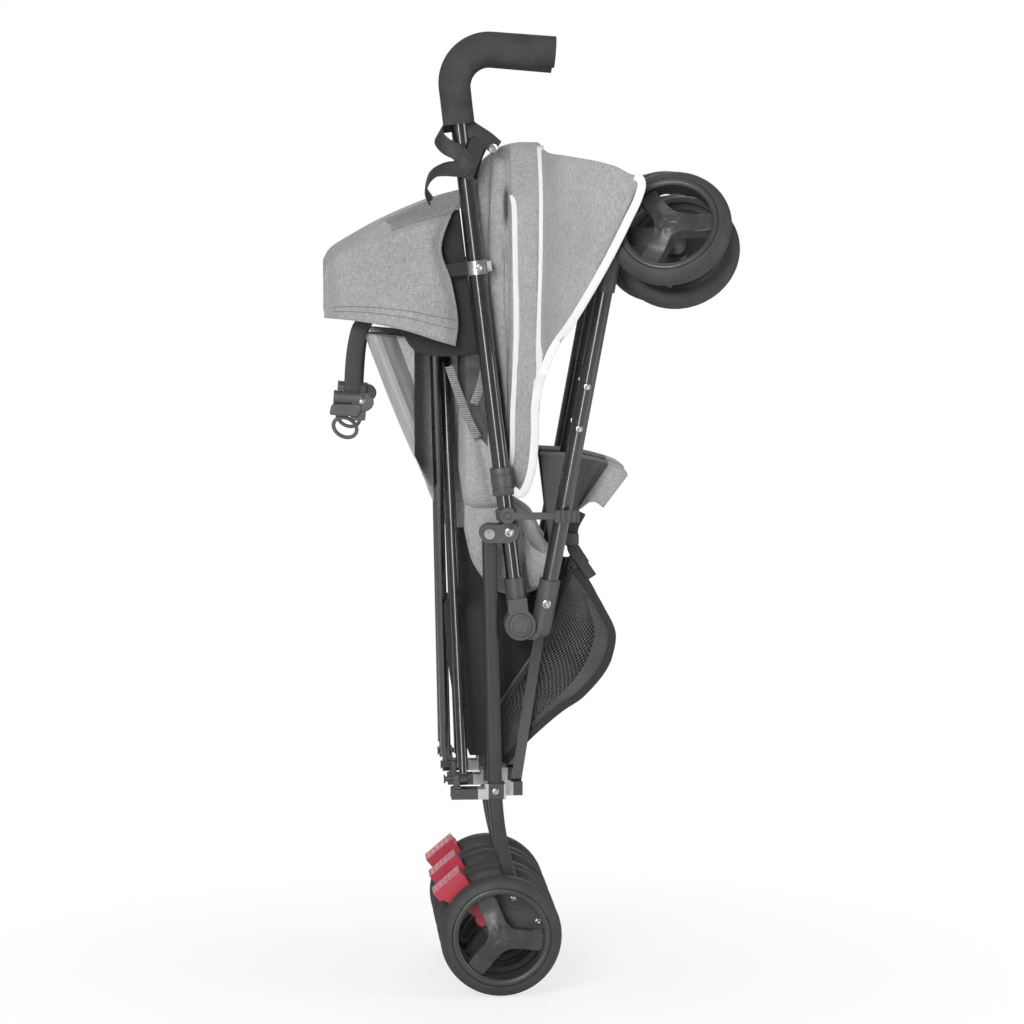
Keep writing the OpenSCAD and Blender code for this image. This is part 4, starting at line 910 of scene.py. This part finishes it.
def seat_back(side):
    """Satin-lined wedge behind the braces: a light band, a mid band and cloth along its outer edge."""
    nu = 64
    a = np.linspace(0, 1, nu)
    ex = BACK_REAR + (WEDGE_TIP[0] - BACK_REAR) * a
    ez = BACK_TOP - 6 + (WEDGE_TIP[1] - BACK_TOP + 6) * a - 7 * np.sin(math.pi * a)
    front = np.minimum(BACK_FRONT - BACK_ROOM + 5.5 * step(0.75, 1, a), WEDGE_TIP[0] - BACK_ROOM / 2)
    wide = np.maximum(front - ex, 0.6)
    half = BACK_HALF * (1 - 0.5 * step(0.8, 1.0, a))
    ring = []
    for sign, order in ((-1, BACK_ROWS[::-1]), (1, BACK_ROWS[1:])):
        for v in order:
            w = np.minimum(v, wide - 0.02 * (BACK_DEEP - v) / BACK_DEEP)
            swell = 0.0
            for lo, hi in ((0, BAND_EDGES[0]), BAND_EDGES, (BAND_EDGES[1], 80)):
                swell += (lo < v < hi) * BAND_SWELL * math.sin(math.pi * (v - lo) / (hi - lo))
            fill = math.sqrt(min(v / BACK_ROUND, 1))
            y = BAY_MID + sign * (half * fill + swell + 0.8 * wave(ex + w, ez, 5 + v * 0.02))
            ring.append(np.stack([ex + w, y, ez - 0.08 * w], -1))
    P = np.stack(ring, 1)
    m = P.shape[1]
    faces = grid_faces(nu, m, True) + end_faces(nu, m)
    ob = recalc(add_mesh("back", bay(P, side), faces, [SATIN_LIGHT, SATIN_MID, HEATHER]))
    row_of = BACK_ROWS[::-1] + BACK_ROWS[1:]
    for p in ob.data.polygons:
        v = max(row_of[k % m] for k in p.vertices)
        p.material_index = sum(v > edge + BAND_SLACK for edge in BAND_EDGES)
    carried(ob, side + "_seat_back", side, side + "_seat", blend=False)
    hold, ahead = bay([(BACK_STOP, BAY_MID, 660), (BACK_STOP + 1000, BAY_MID, 660)], side)
    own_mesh(ob)
    return ob


BACKING_REAR, BACKING_FRONT, BACKING_TOP, BACKING_Y = -94, -34, 738, -21.0
BACKING_LOW = [-94, -84, -78, -64, -50, -34], [615, 592, 574, 545, 520, 508]


def seat_backing(side):
    """Cloth behind the braces that carries the seat back on to the sling."""
    nu, nv = 40, 40
    P = np.zeros((nu, nv, 3))
    for i, x in enumerate(np.linspace(BACKING_REAR, BACKING_FRONT, nu)):
        z = np.linspace(float(pchip(*BACKING_LOW, x)), BACKING_TOP, nv)
        P[i, :, 0], P[i, :, 2] = x, z
        P[i, :, 1] = BACKING_Y + 0.9 * np.sin(0.2 * x + 0.03 * z)
    ob = thicken(sheet_grid("backing", P, HEATHER, side), CLOTH)
    carried(ob, side + "_seat_backing", side, side + "_seat")


# The sling and the base: shares like the hood's, and the striped trims in pixels
SLING = [(0, 0.2, 0.93, 0.8, 0.2), (0.14, 0.02, 1, 0.90, 0.168), (0.42, 0, 1, 0.90, 0.168),
         (0.64, 0, 0.9, 0.90, 0.168), (0.84, 0, 0.66, 0.90, 0.168), (0.96, 0.02, 0.36, 0.89, 0.168),
         (1, 0.05, 0.2, 0.87, 0.2)]
BASE = [(0, 0.45, 0.66, 0.68, 0.32), (0.1, 0.24, 0.72, 0.71, 0.29), (0.28, 0.1, 0.72, 0.72, 0.286),
        (0.45, 0.02, 0.71, 0.72, 0.286), (0.6, 0, 0.67, 0.72, 0.286), (0.76, 0, 0.62, 0.72, 0.286),
        (0.91, 0.02, 0.56, 0.72, 0.286), (1.05, 0.06, 0.42, 0.72, 0.286), (1.25, 0.14, 0.30, 0.70, 0.3),
        (1.29, 0.17, 0.27, 0.66, 0.34)]
BASE_LOW, BASE_HIGH = HINGE[1] + 29, HINGE[1] + 191
TRIM_LINE = [(449, 366), (458, 392), (468, 418), (478, 438)]
TRIM_SIDE = [(485, 368), (480, 388), (474, 404)]
NET_Y, TRIM_Y = -98, -100.2


def seat_sling(side):
    """Padded sling, netted above the trim and pleated below it."""
    stations = run(SLING, SLING_REAR, SLING_FRONT, SLING_LOW, BACK_TOP + 6)

    def fold(x, z):
        pleat = 4.6 * (0.5 + 0.5 * np.sin(x * 0.23 + (z - 640) * 0.05)) ** 1.5
        return pleat * step(700, 630, z) + 1.6 * wave(x, z, 7)

    ob, pts = loft("sling", stations, 84, 96, [HEATHER, NETCLOTH], side, fold)
    line = np.array([pix(px, py, NET_Y) for px, py in TRIM_LINE])
    for p in ob.data.polygons:
        c = np.mean([pts[k] for k in p.vertices], axis=0)
        p.material_index = int(c[2] > np.interp(c[0], line[:, 0], line[:, 2]))
    carried(ob, side + "_seat_sling", side, side + "_seat")
    for name, route in (("trim", TRIM_LINE), ("trim_side", TRIM_SIDE)):
        q = smooth_path([pix(px, py, TRIM_Y) for px, py in route], 40)
        trim = ribbon("%s_seat_%s" % (side, name), q, 10.0, 1.0, STRIPE, side)


def seat_base(side):
    """Padded base, gathered between the braces and the front legs."""
    stations = run(BASE, SLING_REAR + 6, LEG_START[0], BASE_LOW, BASE_HIGH)

    def fold(x, z):
        return 4.0 * (0.5 + 0.5 * np.sin(x * 0.15 - z * 0.07)) ** 1.4 + 1.4 * wave(x, z, 9)

    ob, _ = loft("base", stations, 72, 72, [HEATHER], side, fold)
    carried(ob, side + "_seat_base", side, side + "_seat")
    return ob


# Edges of the pocket and the calf flap, in pixels of the photograph's frame
POCKET_TOP = ([522, 531, 544, 556, 562], [526, 545, 553, 548, 540])
POCKET_LOW = ([529, 536, 545, 554, 560], [588, 587, 582, 572, 560])
POCKET_AT = [0, 0.25, 0.5, 0.75, 1]
CALF_TOP = ([539, 562, 585, 606, 618, 625], [455, 456, 459, 464, 468.5, 474])
CALF_LOW = ([552, 557, 566, 578, 592, 602], [560, 545, 525, 508, 500, 506])
CALF_AT = [0, 0.25, 0.5, 0.7, 0.88, 1]
CALF_LIP, CALF_NEAR, CALF_FAR = 0.7, -78.0, -32.0
CALF_STRAP = [(581, 512), (573, 530), (572, 546), (582, 562), (592, 577)]
BUCKLE_AT = pix(571, 539, -83.5)
BUCKLE = [(-8, -7), (8, -7), (9, -5), (9, 5), (8, 7), (-8, 7), (-9, 5), (-9, -5)]
BUCKLE_HALF = 2.5


def seat_pocket(side):
    """Slack cloth gathered at the front corner of the seat, open at its top edge."""
    nu, nv = 40, 28
    b = np.linspace(0, 1, nv)
    P = np.zeros((nu, nv, 3))
    for i, k in enumerate(np.linspace(0, 1, nu)):
        top, low = edge_point(POCKET_TOP, POCKET_AT, k, -86), edge_point(POCKET_LOW, POCKET_AT, k, -82)
        P[i] = low + (top - low) * b[:, None]
        swell = 5 * math.sin(math.pi * k) * np.sin(0.6 * math.pi * b)
        P[i, :, 1] -= swell + 1.2 * wave(P[i, :, 0], P[i, :, 2], 13)
    ob = thicken(sheet_grid("pocket", P, HEATHER, side, flip=side == "near"), CLOTH)
    carried(ob, side + "_seat_pocket", side, side + "_seat")


def calf_flap(side):
    """Upturned calf flap: two sides joined over the top, its inside in a darker cloth as painted shade, with
    a cloth border.
    """
    nu, nv, over = 60, 40, 23
    a, b = np.linspace(0, 1, nu), np.linspace(0, 1, nv)
    flat = np.zeros((nu, nv, 3))
    for i, k in enumerate(a):
        top, low = [edge_point(edge, CALF_AT, k, BAY_MID) for edge in (CALF_TOP, CALF_LOW)]
        flat[i] = low + (top - low) * b[:, None]
    swell = 5 * np.sin(math.pi * b)[None] * (1 - a * 0.6)[:, None] + 7 * (1 - b[None]) ** 2
    lip = np.where(a > CALF_LIP, -6 * np.sin(math.pi * (a - CALF_LIP) / (1 - CALF_LIP)), 0)
    dip = 5 * ridge(a - CALF_LIP + 0.04, 0.05)
    near, other = flat.copy(), flat.copy()
    for Q, y, sign in ((near, CALF_NEAR, 1), (other, CALF_FAR, -1)):
        Q[:, :, 1] = y + sign * (swell + (lip + dip)[:, None]) + 1.2 * wave(Q[:, :, 0], Q[:, :, 2], 11)
    bridge = [near[:, -1] * (1 - k) + other[:, -1] * k + [0, 0, 3 * math.sin(math.pi * k)]
              for k in np.linspace(0, 1, over + 2)[1:-1]]
    S = np.concatenate([near, np.stack(bridge, 1), other[:, ::-1]], 1)
    ob = sheet_grid("calf", S, [CALF_SHADE_CLOTH, HEATHER], side, flip=side == "near")
    m = S.shape[1]
    # Faces inside the border take the darker cloth, as painted shade
    for p in ob.data.polygons:
        i, j = np.min([divmod(k, m) for k in p.vertices], axis=0)
        p.material_index = int(i > (nu - 1) * CALF_LIP or j in (0, 1, m - 3, m - 2))
    ob = carried(thicken(ob, 2.4), side + "_calf_flap", side, side + "_seat")
    calf_strap(side)


def calf_strap(side):
    """Strap and buckle that hang from the calf flap."""
    route = smooth_path([pix(px, py, -82) for px, py in CALF_STRAP], 40)
    strap = ribbon(side + "_calf_strap", route, 12.0, 1.4, WEB, side, blend=True)
    mid_x, mid_y, mid_z = BUCKLE_AT
    outline = [(mid_x + x, mid_z + z) for x, z in BUCKLE]
    buckle = slab("buckle", outline, mid_y - BUCKLE_HALF, mid_y + BUCKLE_HALF, side, 1.4)
    carried(buckle, side + "_calf_buckle", side)


def slab(name, outline, y0, y1, side, bevel):
    """Flat moulded piece: an outline in x and z between two y, with rounded edges."""
    n = len(outline)
    v = [(x, y, z) for y in (y0, y1) for x, z in outline]
    faces = [(k, (k + 1) % n, n + (k + 1) % n, n + k) for k in range(n)] + end_faces(2, n)
    ob = recalc(add_mesh(name, bay(v, side), faces, PLASTIC, smooth=False))
    return modified(ob, "BEVEL", width=bevel / 1000, segments=3)


def make_seat(side):
    back = seat_back(side)
    seat_backing(side)
    seat_sling(side)
    base = seat_base(side)
    seat_pocket(side)
    calf_flap(side)
    return back


# The basket and its rear panel, a black sheet that is partly the basket's dark cloth and partly painted shade
# between the hinge and the rear leg: shares of height, with the rear and front edge as shares of its depth
BASKET = np.array([(0, 0, 0.03), (0.08, 0, 0.15), (0.19, 0, 0.35), (0.28, 0, 0.54), (0.35, 0.06, 0.72),
                   (0.55, 0.29, 0.97), (0.65, 0.39, 1), (0.8, 0.5, 0.89), (0.95, 0.59, 0.72),
                   (1, 0.62, 0.65)])
PANEL = np.array([(0.02, -0.27, 0.06), (0.2, -0.38, 0.16), (0.4, -0.44, 0.26), (0.6, -0.48, 0.42),
                  (0.82, -0.5, 0.56), (0.86, -0.38, -0.1), (0.95, -0.38, -0.14), (1.2, -0.38, -0.22)])
BASKET_Z, BASKET_H, BASKET_X, BASKET_D = 261.0, 224.0, 4.2, 130.0
BASKET_MID, BASKET_HALF = -56.0, 22.0
NET_ROWS, NET_ROUND, NET_CORD = 80, 124, 0.0013
HEM_Y = -79.6


def basket_x(table, u):
    """Rear and front x at a share of the height."""
    return [BASKET_X + BASKET_D * pchip(table[:, 0], table[:, k], u) for k in (1, 2)]


def basket_point(u, v):
    """Point of the net: u from the bottom up, v once round."""
    z = BASKET_Z + BASKET_H * u
    lo, hi = [float(q) for q in basket_x(BASKET, u)]
    t = 2 * math.pi * v
    reach = (math.cos(t) ** 4 + math.sin(t) ** 4) ** -0.25
    x = (lo + hi) / 2 + reach * math.cos(t) * (hi - lo) / 2
    y = BASKET_MID + reach * math.sin(t) * BASKET_HALF
    return x, y + 2.0 * math.sin(0.05 * x + 0.03 * z) * math.sin(t), z


def basket_net(side):
    """Open net of crossed cords round the basket."""
    place, verts, faces = {}, [], []
    for i in range(NET_ROWS + 1):
        for j in range(i % 2, NET_ROUND, 2):
            place[(i, j)] = len(verts)
            verts.append(basket_point(i / NET_ROWS, j / NET_ROUND))
    for i in range(1, NET_ROWS):
        for j in range((i + 1) % 2, NET_ROUND, 2):
            ends = (i - 1, j), (i, (j + 1) % NET_ROUND), (i + 1, j), (i, (j - 1) % NET_ROUND)
            faces.append([place[end] for end in ends])
    net = recalc(add_mesh("net", bay(verts, side), faces, NET, smooth=False))
    return modified(net, "WIREFRAME", thickness=NET_CORD, use_even_offset=False, use_boundary=True)


def basket_grid(table, low, high, inner, outer, depth):
    """Grid on one wall of the basket, with y given by a function of the height share, x and z."""
    nu, nv = 40, 30
    G = np.zeros((nu, nv, 3))
    for i, u in enumerate(np.linspace(low, high, nu)):
        x0, x1 = basket_x(table, u)
        x = x0 + (x1 - x0) * np.linspace(inner, outer, nv)
        z = np.full(nv, BASKET_Z + BASKET_H * u)
        G[i] = np.stack([x, depth(u, x, z), z], -1)
    return G


def make_basket(side):
    """Net, close cloth on the far side, a band of close net, the rear panel, partly painted shade, and the
    bound edges.
    """

    def spread(ob, name):
        ob.name = ob.data.name = side + "_basket_" + name
        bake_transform(ob)
        return ob

    net = basket_net(side)
    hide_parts(side + "_basket")
    spread(net, "net")
    for name, inner, outer, y, low, high, mat in (("back", 0.02, 0.98, -36.5, 0.02, 0.98, BLACKCLOTH),
                                                  ("band", 0.72, 0.985, -79.0, 0.05, 0.86, NETCLOTH)):
        G = basket_grid(BASKET, low, high, inner, outer, lambda u, x, z: y + 0.8 * wave(x, 300 * u, 4))
        ob = spread(thicken(sheet_grid(name, G, mat, side), 1.0), name)

    def panel_y(u, x, z):
        return -54 + 27 * step(0.78, 0.86, u) + 0.5 * np.sin(0.16 * x + 0.02 * z)

    # Rear panel of black cloth, reaching above the basket into the shade between the hinge and the rear leg:
    # partly basket cloth, partly painted shade
    G = basket_grid(PANEL, 0.02, 1.2, 0, 1, panel_y)
    panel = spread(thicken(sheet_grid("rear", G, BLACKCLOTH, side), 1.2), "rear")
    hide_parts(side + "_basket")
    for name, v, width in (("hem", 0.985, 9.0), ("top_hem", 0.02, 6.0)):
        path = []
        for u in np.linspace(0.0, 1.0, 70):
            x0, x1 = basket_x(BASKET, u)
            path.append((float(x0 + (x1 - x0) * v), HEM_Y, BASKET_Z + BASKET_H * u))
        hem = spread(sweep(name, path, tape_section(width, 2.0), BLACKCLOTH, side), name)


# Recline strap, cord lock and pull ring, with the outlines of the lock about its middle
STRAP_X, STRAP_Y = BACK_REAR - 0.3, -80.0
LOCK_X, LOCK_Z = STRAP_X - 16, BACK_TOP - 80
LOCK_WING = [(-19, -6), (11, -7), (14, -10), (9, -22), (-24, -19), (-22, -10)]
LOCK_CLASP = [(-2, -18), (18, -15), (17, -26), (2, -26)]
STUD = [(0.0, 1.7), (2.4, 1.5), (3.6, 0.6), (3.8, -1.0)]


def lock_stud(side):
    stud = lathe("stud", STUD, (0, 0, 0), (0, -1, 0), STEEL, 20)
    turn_round = Matrix.Rotation(math.pi, 4, "Z") if side == "far" else Matrix()
    place = Vector(bay([(LOCK_X + 13, STRAP_Y - 6.4, LOCK_Z - 3)], side)[0])
    stud.data.transform(Matrix.Translation(place) @ turn_round)
    return stud


def make_strap(side, back):
    rx, ry, top, cx, cz = STRAP_X, STRAP_Y, BACK_TOP, LOCK_X, LOCK_Z
    path = smooth_path([(rx + 2, ry - 2, top + 10), (rx - 6, ry - 3, top - 4), (rx - 12, ry - 2, top - 40),
                        (rx - 14, ry - 1, top - 76)], 50)
    band = sweep("band", path, tape_section(19, 1.6), WEB, side)
    carried(band, side + "_recline_band", side, side + "_strap", blend=False)
    turn = np.linspace(0, 2 * math.pi, 41)[:-1]
    loop_x = cx - 6 + 13.0 * np.cos(turn) - 3.0 * np.sin(turn)
    loop = np.stack([loop_x, np.full_like(turn, ry), cz - 34 + 11.5 * np.sin(turn)], -1)
    barrel = smooth_path([(cx - 19, ry, cz + 1), (cx + 16, ry, cz - 1)], 14)
    turns = np.linspace(0, 2 * math.pi, 25)[:-1]
    disc = [(13 * math.cos(t) + 14, 11 * math.sin(t) - 5) for t in turns]

    def flat(name, outline, half, bevel):
        return slab(name, [(cx + x, cz + z) for x, z in outline], ry - half, ry + half, side, bevel)

    hard = {
        "lock_barrel": sweep("barrel", barrel, round_section(8.2, 20), PLASTIC, side),
        "lock_wing": flat("wing", LOCK_WING, 7.5, 1.8),
        "lock_body": flat("body", disc, 6.0, 1.2),
        "lock_ring": sweep("ring", loop, round_section(2.2, 12), PLASTIC, side, closed=True),
        "lock_clasp": flat("clasp", LOCK_CLASP, 5.0, 1.2),
        "lock_stud": lock_stud(side),
    }
    for name, ob in hard.items():
        carried(ob, "%s_%s" % (side, name), side, blend=False)


for side in ("near", "far"):
    make_hood(side)
    make_strap(side, make_seat(side))
    make_basket(side)

# Rivets, caps and clips of the frames: profiles as radius and height, places in x, outwards and z
HINGE_CAP = [(0.0, 0.7), (7.5, 0.7), (8.2, 1.3), (9.2, 1.3), (9.8, 0.5), (12.6, 0.4), (13.4, -0.4),
             (13.6, -2.2)]
CLIP = [(9.6, 0), (12.4, 0), (12.8, 0.5), (12.8, 7.5), (12.2, 8), (12.2, 9), (12.8, 9.5), (12.8, 22.5),
        (12.2, 23), (12.2, 24), (12.8, 24.5), (12.8, 31.5), (12.4, 32), (9.6, 32)]
CAP_OUT, CLIP_ALONG, SCREW_AHEAD, SCREW_OUT = 17.9, 150, 3, 12.6
LEG_RIVETS = (("elbow", 30, 5.2, 12.0), ("leg_a", 236, 4.2, 9.3), ("leg_b", 285, 4.2, 9.3))
BRACKET_RIVET = (10.7, 14.7, 532.8)
HOUSING_BOLTS = ((16.0, 15.4, 110.0), (44.0, 15.4, 82.0))
BRACE_BOLT = (-4.8, 12.1, BRACE_LOW[1])


def rivet(name, p, axis, body, r):
    profile = [(0.0, 0.9), (r * 0.28, 0.9), (r * 0.34, 0.3), (r * 0.5, 0.4), (r * 0.62, 1.5), (r * 0.85, 1.3),
               (r, 0.5), (r, -0.6)]
    fixed(lathe(name, profile, p, axis, STEEL, 28), body)


def front_leg(i):
    """Direction of the front leg of frame i, and the direction across it."""
    f, k = LEG_TURN, LEG_SPLAY * (i - 1)
    along = np.array([math.cos(k) * math.sin(f), math.sin(k), math.cos(k) * math.cos(f)])
    return along, np.array([-math.sin(k) * math.sin(f), math.cos(k), -math.sin(k) * math.cos(f)])


def frame_details(i, s):
    out = outward(s)
    side_on = (0, out, 0)
    up = np.array([-math.sin(LEAN), 0, math.cos(LEAN)])
    ahead = np.array([math.cos(LEAN), 0, math.sin(LEAN)])
    hinge = np.array([HINGE[0], 0, HINGE[1]])

    def at(p):
        return in_frame(p, i)

    def outside(x, y, z):
        return at((x, out * y, z))

    rivet(s + "_bracket_rivet", outside(*BRACKET_RIVET), side_on, s + "_frame", 5.4)
    cap = lathe(s + "_hinge_cap", HINGE_CAP, at(hinge + [0, out * CAP_OUT, 0]), side_on, PLASTIC, 44)
    fixed(cap, s + "_frame")
    screw = hinge + (CLAMP_LOW + CLAMP_HIGH) / 2 * up + SCREW_AHEAD * ahead + [0, out * SCREW_OUT, 0]
    rivet(s + "_clamp_screw", at(screw), side_on, s + "_frame", 4.6)
    leg, across = front_leg(i)
    for name, along, r, lift in LEG_RIVETS:
        p = at(LEG_START + leg * along + across * out * lift)
        rivet("%s_%s_rivet" % (s, name), p, tuple(across * out), s + "_front", r)
    for n, bolt in enumerate(HOUSING_BOLTS):
        rivet("%s_housing_bolt_%d" % (s, n), outside(*bolt), side_on, s + "_rear", 3.8)
    rivet(s + "_brace_bolt", outside(*BRACE_BOLT), side_on, s + "_rear", 4.2)
    if s != "middle":
        a = math.radians(i * STAGGER) - LEAN
        tube = (math.sin(a), 0, math.cos(a))
        clip = lathe(s + "_canopy_clip", CLIP, at(hinge + CLIP_ALONG * up), tube, PLASTIC, 48)
        fixed(clip, s + "_frame")


# Spoke faces and raised rings on the wheels
RING = [(49.2, -4.2), (50.6, -2.6), (52.4, -1.8), (55.2, -1.8), (56.4, -2.6), (56.4, -5.8), (49.2, -5.8),
        (49.2, -4.2)]
RING_OUT = 2.6
TYRE_W, REAR_GAUGE, FRONT_GAUGE = 27.0, 72.0, 60.0
SPOKE_W, WINDOW_R, SPOKE_REACH = 22.0, 18.0, 49.6
SPOKE_FACE, HUB_RISE, CENTRE_RISE, CROWN_RISE = 7.0, 6.6, 2.6, 1.2
FACE_OVER, FACE_LIFT, FACE_SUNK, EDGE_DROP = 0.35, 0.8, 0.2, 0.7
SPOKE_SHARES = [0.0, 0.1, 0.2, 0.32, 0.44, 0.56, 0.68, 0.8, 0.9, 0.965, 1.0, 1.0]
EDGE_ROW, SKIRT_ROW = len(SPOKE_SHARES) - 2, len(SPOKE_SHARES) - 1
REAR_SPOKES, FRONT_SPOKES = math.radians(112), math.radians(124)
CASTER_TILT, CASTER_SWIVEL = math.radians(-118.4), math.radians(32)
CASTER_TRAIL, CASTER_DROP = 28, 66
THIRD = math.pi / 3


def off_spoke(turn):
    """Angle from the nearest of three spokes."""
    return abs((turn + THIRD) % (2 * THIRD) - THIRD)


def spoke_edge(turn):
    """Distance from the hub to the edge of the three spokes, in a direction measured from a spoke."""
    off = off_spoke(turn)
    mid = (SPOKE_W / 2 + WINDOW_R) / math.sin(THIRD)
    side = THIRD - off
    straight = SPOKE_W / 2 / max(math.sin(off), 1e-6)
    inside = WINDOW_R ** 2 - (mid * math.sin(side)) ** 2
    round_edge = mid * math.cos(side) - math.sqrt(inside) if inside > 0 else straight
    tangent = side > math.atan2(WINDOW_R / 2, mid - WINDOW_R * math.sin(THIRD))
    return min(straight if tangent else round_edge, SPOKE_REACH)


def spoke_face(name, centre, across, upright, axis, first, body):
    """Three-armed face over the spokes and the hub, ridged along each arm and raised in the middle."""
    n, m = 180, len(SPOKE_SHARES)
    verts = []
    for k in range(n):
        turn = 2 * math.pi * k / n
        edge = spoke_edge(turn) + FACE_OVER
        spot = across * math.cos(turn + first) + upright * math.sin(turn + first)
        for row, share in enumerate(SPOKE_SHARES):
            r = edge * share
            crown = max(0.0, 1 - off_spoke(turn) * 2.4) * (1 - step(8.0, 30.0, r)) * step(3.0, 8.0, r)
            h = SPOKE_FACE + FACE_LIFT + HUB_RISE * step(34.0, 15.2, r) + CENTRE_RISE * step(15.0, 9.0, r)
            h += CROWN_RISE * crown
            if row == SKIRT_ROW:
                h = SPOKE_FACE - FACE_SUNK
            elif row == EDGE_ROW and edge < SPOKE_REACH:
                h -= EDGE_DROP
            verts.append(centre + spot * r + axis * h)
    faces = grid_faces(n, m) + seam_faces(n, m)
    fixed(recalc(add_mesh(name, np.array(verts) / 1000, faces, RIM)), body)


def front_axle(i):
    """Centre and the three directions of a front axle in the plane of its frame."""
    end = LEG_START + LEG_LEN * front_leg(i)[0]
    zl = np.array([math.sin(CASTER_TILT), 0, math.cos(CASTER_TILT)])
    xl = np.array([math.cos(CASTER_TILT), 0, -math.sin(CASTER_TILT)])
    yl = np.array([0, 1.0, 0])
    xs = xl * math.cos(CASTER_SWIVEL) + yl * math.sin(CASTER_SWIVEL)
    ys = yl * math.cos(CASTER_SWIVEL) - xl * math.sin(CASTER_SWIVEL)
    return end - CASTER_TRAIL * xs - CASTER_DROP * zl, xs, ys, zl


def wheel_details(i, s):
    origin = in_frame((0, 0, 0), i)
    rear = np.array([0, 0, WHEEL_R]), *np.eye(3)
    for end, axle, gauge, first in (("rear", rear, REAR_GAUGE, REAR_SPOKES),
                                    ("front", front_axle(i), FRONT_GAUGE, FRONT_SPOKES)):
        centre = in_frame(axle[0], i)
        across, axis, upright = [in_frame(d, i) - origin for d in axle[1:]]
        body = "%s_%s_wheels" % (s, end)
        for mark, sign in (("a", -1), ("b", 1)):
            out = axis * sign
            hub = centre + out * gauge / 2
            name = "%s_%s_%s" % (s, end, mark)
            spoke_face(name + "_spokes", hub, across, upright, out, first, body)
            ring = lathe(name + "_ring", RING, hub + out * (TYRE_W / 2 + RING_OUT), tuple(out), RIM, 72)
            fixed(ring, body)


for i, s in enumerate(FRAMES):
    frame_details(i, s)
    wheel_details(i, s)

# Carry straps at the top of the near tube: pixels with a y, and the direction that each faces there
CARRY = {
    "carry_loop_upper": ([(452, 124, -98), (443, 128, -106), (439, 137, -116), (446, 146, -122),
                          (457, 152, -124), (466, 161, -123.5), (467, 173, -122.5)],
                         [(-0.2, 1, 0.3), (-0.8, 0.3, 0.6), (-1, -0.5, 0.2), (-0.3, -0.9, -0.2), (0, -1, 0.1),
                          (0, -1, 0), (0, -1, 0)]),
    "carry_loop_lower": ([(470, 160, -124), (462, 169, -125.5), (450, 169, -126), (438, 171, -123),
                          (429, 179, -117), (426, 190, -110), (431, 201, -104)],
                         [(0, -1, 0), (0, -1, 0.2), (0, -0.9, 0.5), (-0.3, -0.6, 0.8), (-0.9, -0.3, 0.5),
                          (-1, 0.1, 0), (-0.7, 0.5, -0.5)]),
    "carry_cross": ([(479, 139, -112), (475, 150, -119), (469, 165, -124.6), (464, 178, -123)],
                    [(0.3, -0.9, 0.2), (0.2, -1, 0.1), (0, -1, 0), (0, -1, 0)]),
    "hood_strap": ([(466, 126, -111), (475, 132, -111.5), (486, 139, -111), (497, 148, -108)],
                   [(0, -1, 0.1), (0, -1, 0.2), (0, -1, 0.3), (0, -0.9, 0.4)]),
}
TAB_REAR = [(468, 136), (469, 155), (472, 178)]
TAB_FRONT = [(488, 146), (482, 160), (477, 180)]
TAB_Y = -100.3
SNAP = [(0.0, 1.6), (2.6, 1.6), (3.2, 0.9), (4.6, 1.2), (5.4, 0.6), (5.6, -0.8)]
SNAP_AT = pix(493, 148, -112.5)


def carry_strap(name, route, ups):
    n = 60
    path = smooth_path([pix(*p) for p in route], n)
    share = np.linspace(0, len(ups) - 1, n)
    facing = np.stack([np.interp(share, range(len(ups)), [u[k] for u in ups]) for k in range(3)], 1)
    ob = fixed(sweep(name, path, tape_section(19, 1.5), WEB, ups=facing), "near_frame")


def hood_tab():
    """Cloth tab from the tube to the hood, with its snap."""
    rows = np.linspace(0, 1, 12)[:, None, None]
    rear, front = [smooth_path([pix(px, py, TAB_Y) for px, py in line], 30) for line in (TAB_REAR, TAB_FRONT)]
    grid = rear[None] * (1 - rows) + front[None] * rows
    tab = fixed(thicken(sheet_grid("hood_tab", grid, BLACKCLOTH, "near"), 1.0), "near_frame")
    fixed(lathe("hood_snap", SNAP, SNAP_AT, (0, -1, 0.3), STEEL, 28), "near_frame")


for name, (route, ups) in CARRY.items():
    carry_strap(name, route, ups)
hood_tab()

bpy.context.scene.view_settings.view_transform = "Standard"
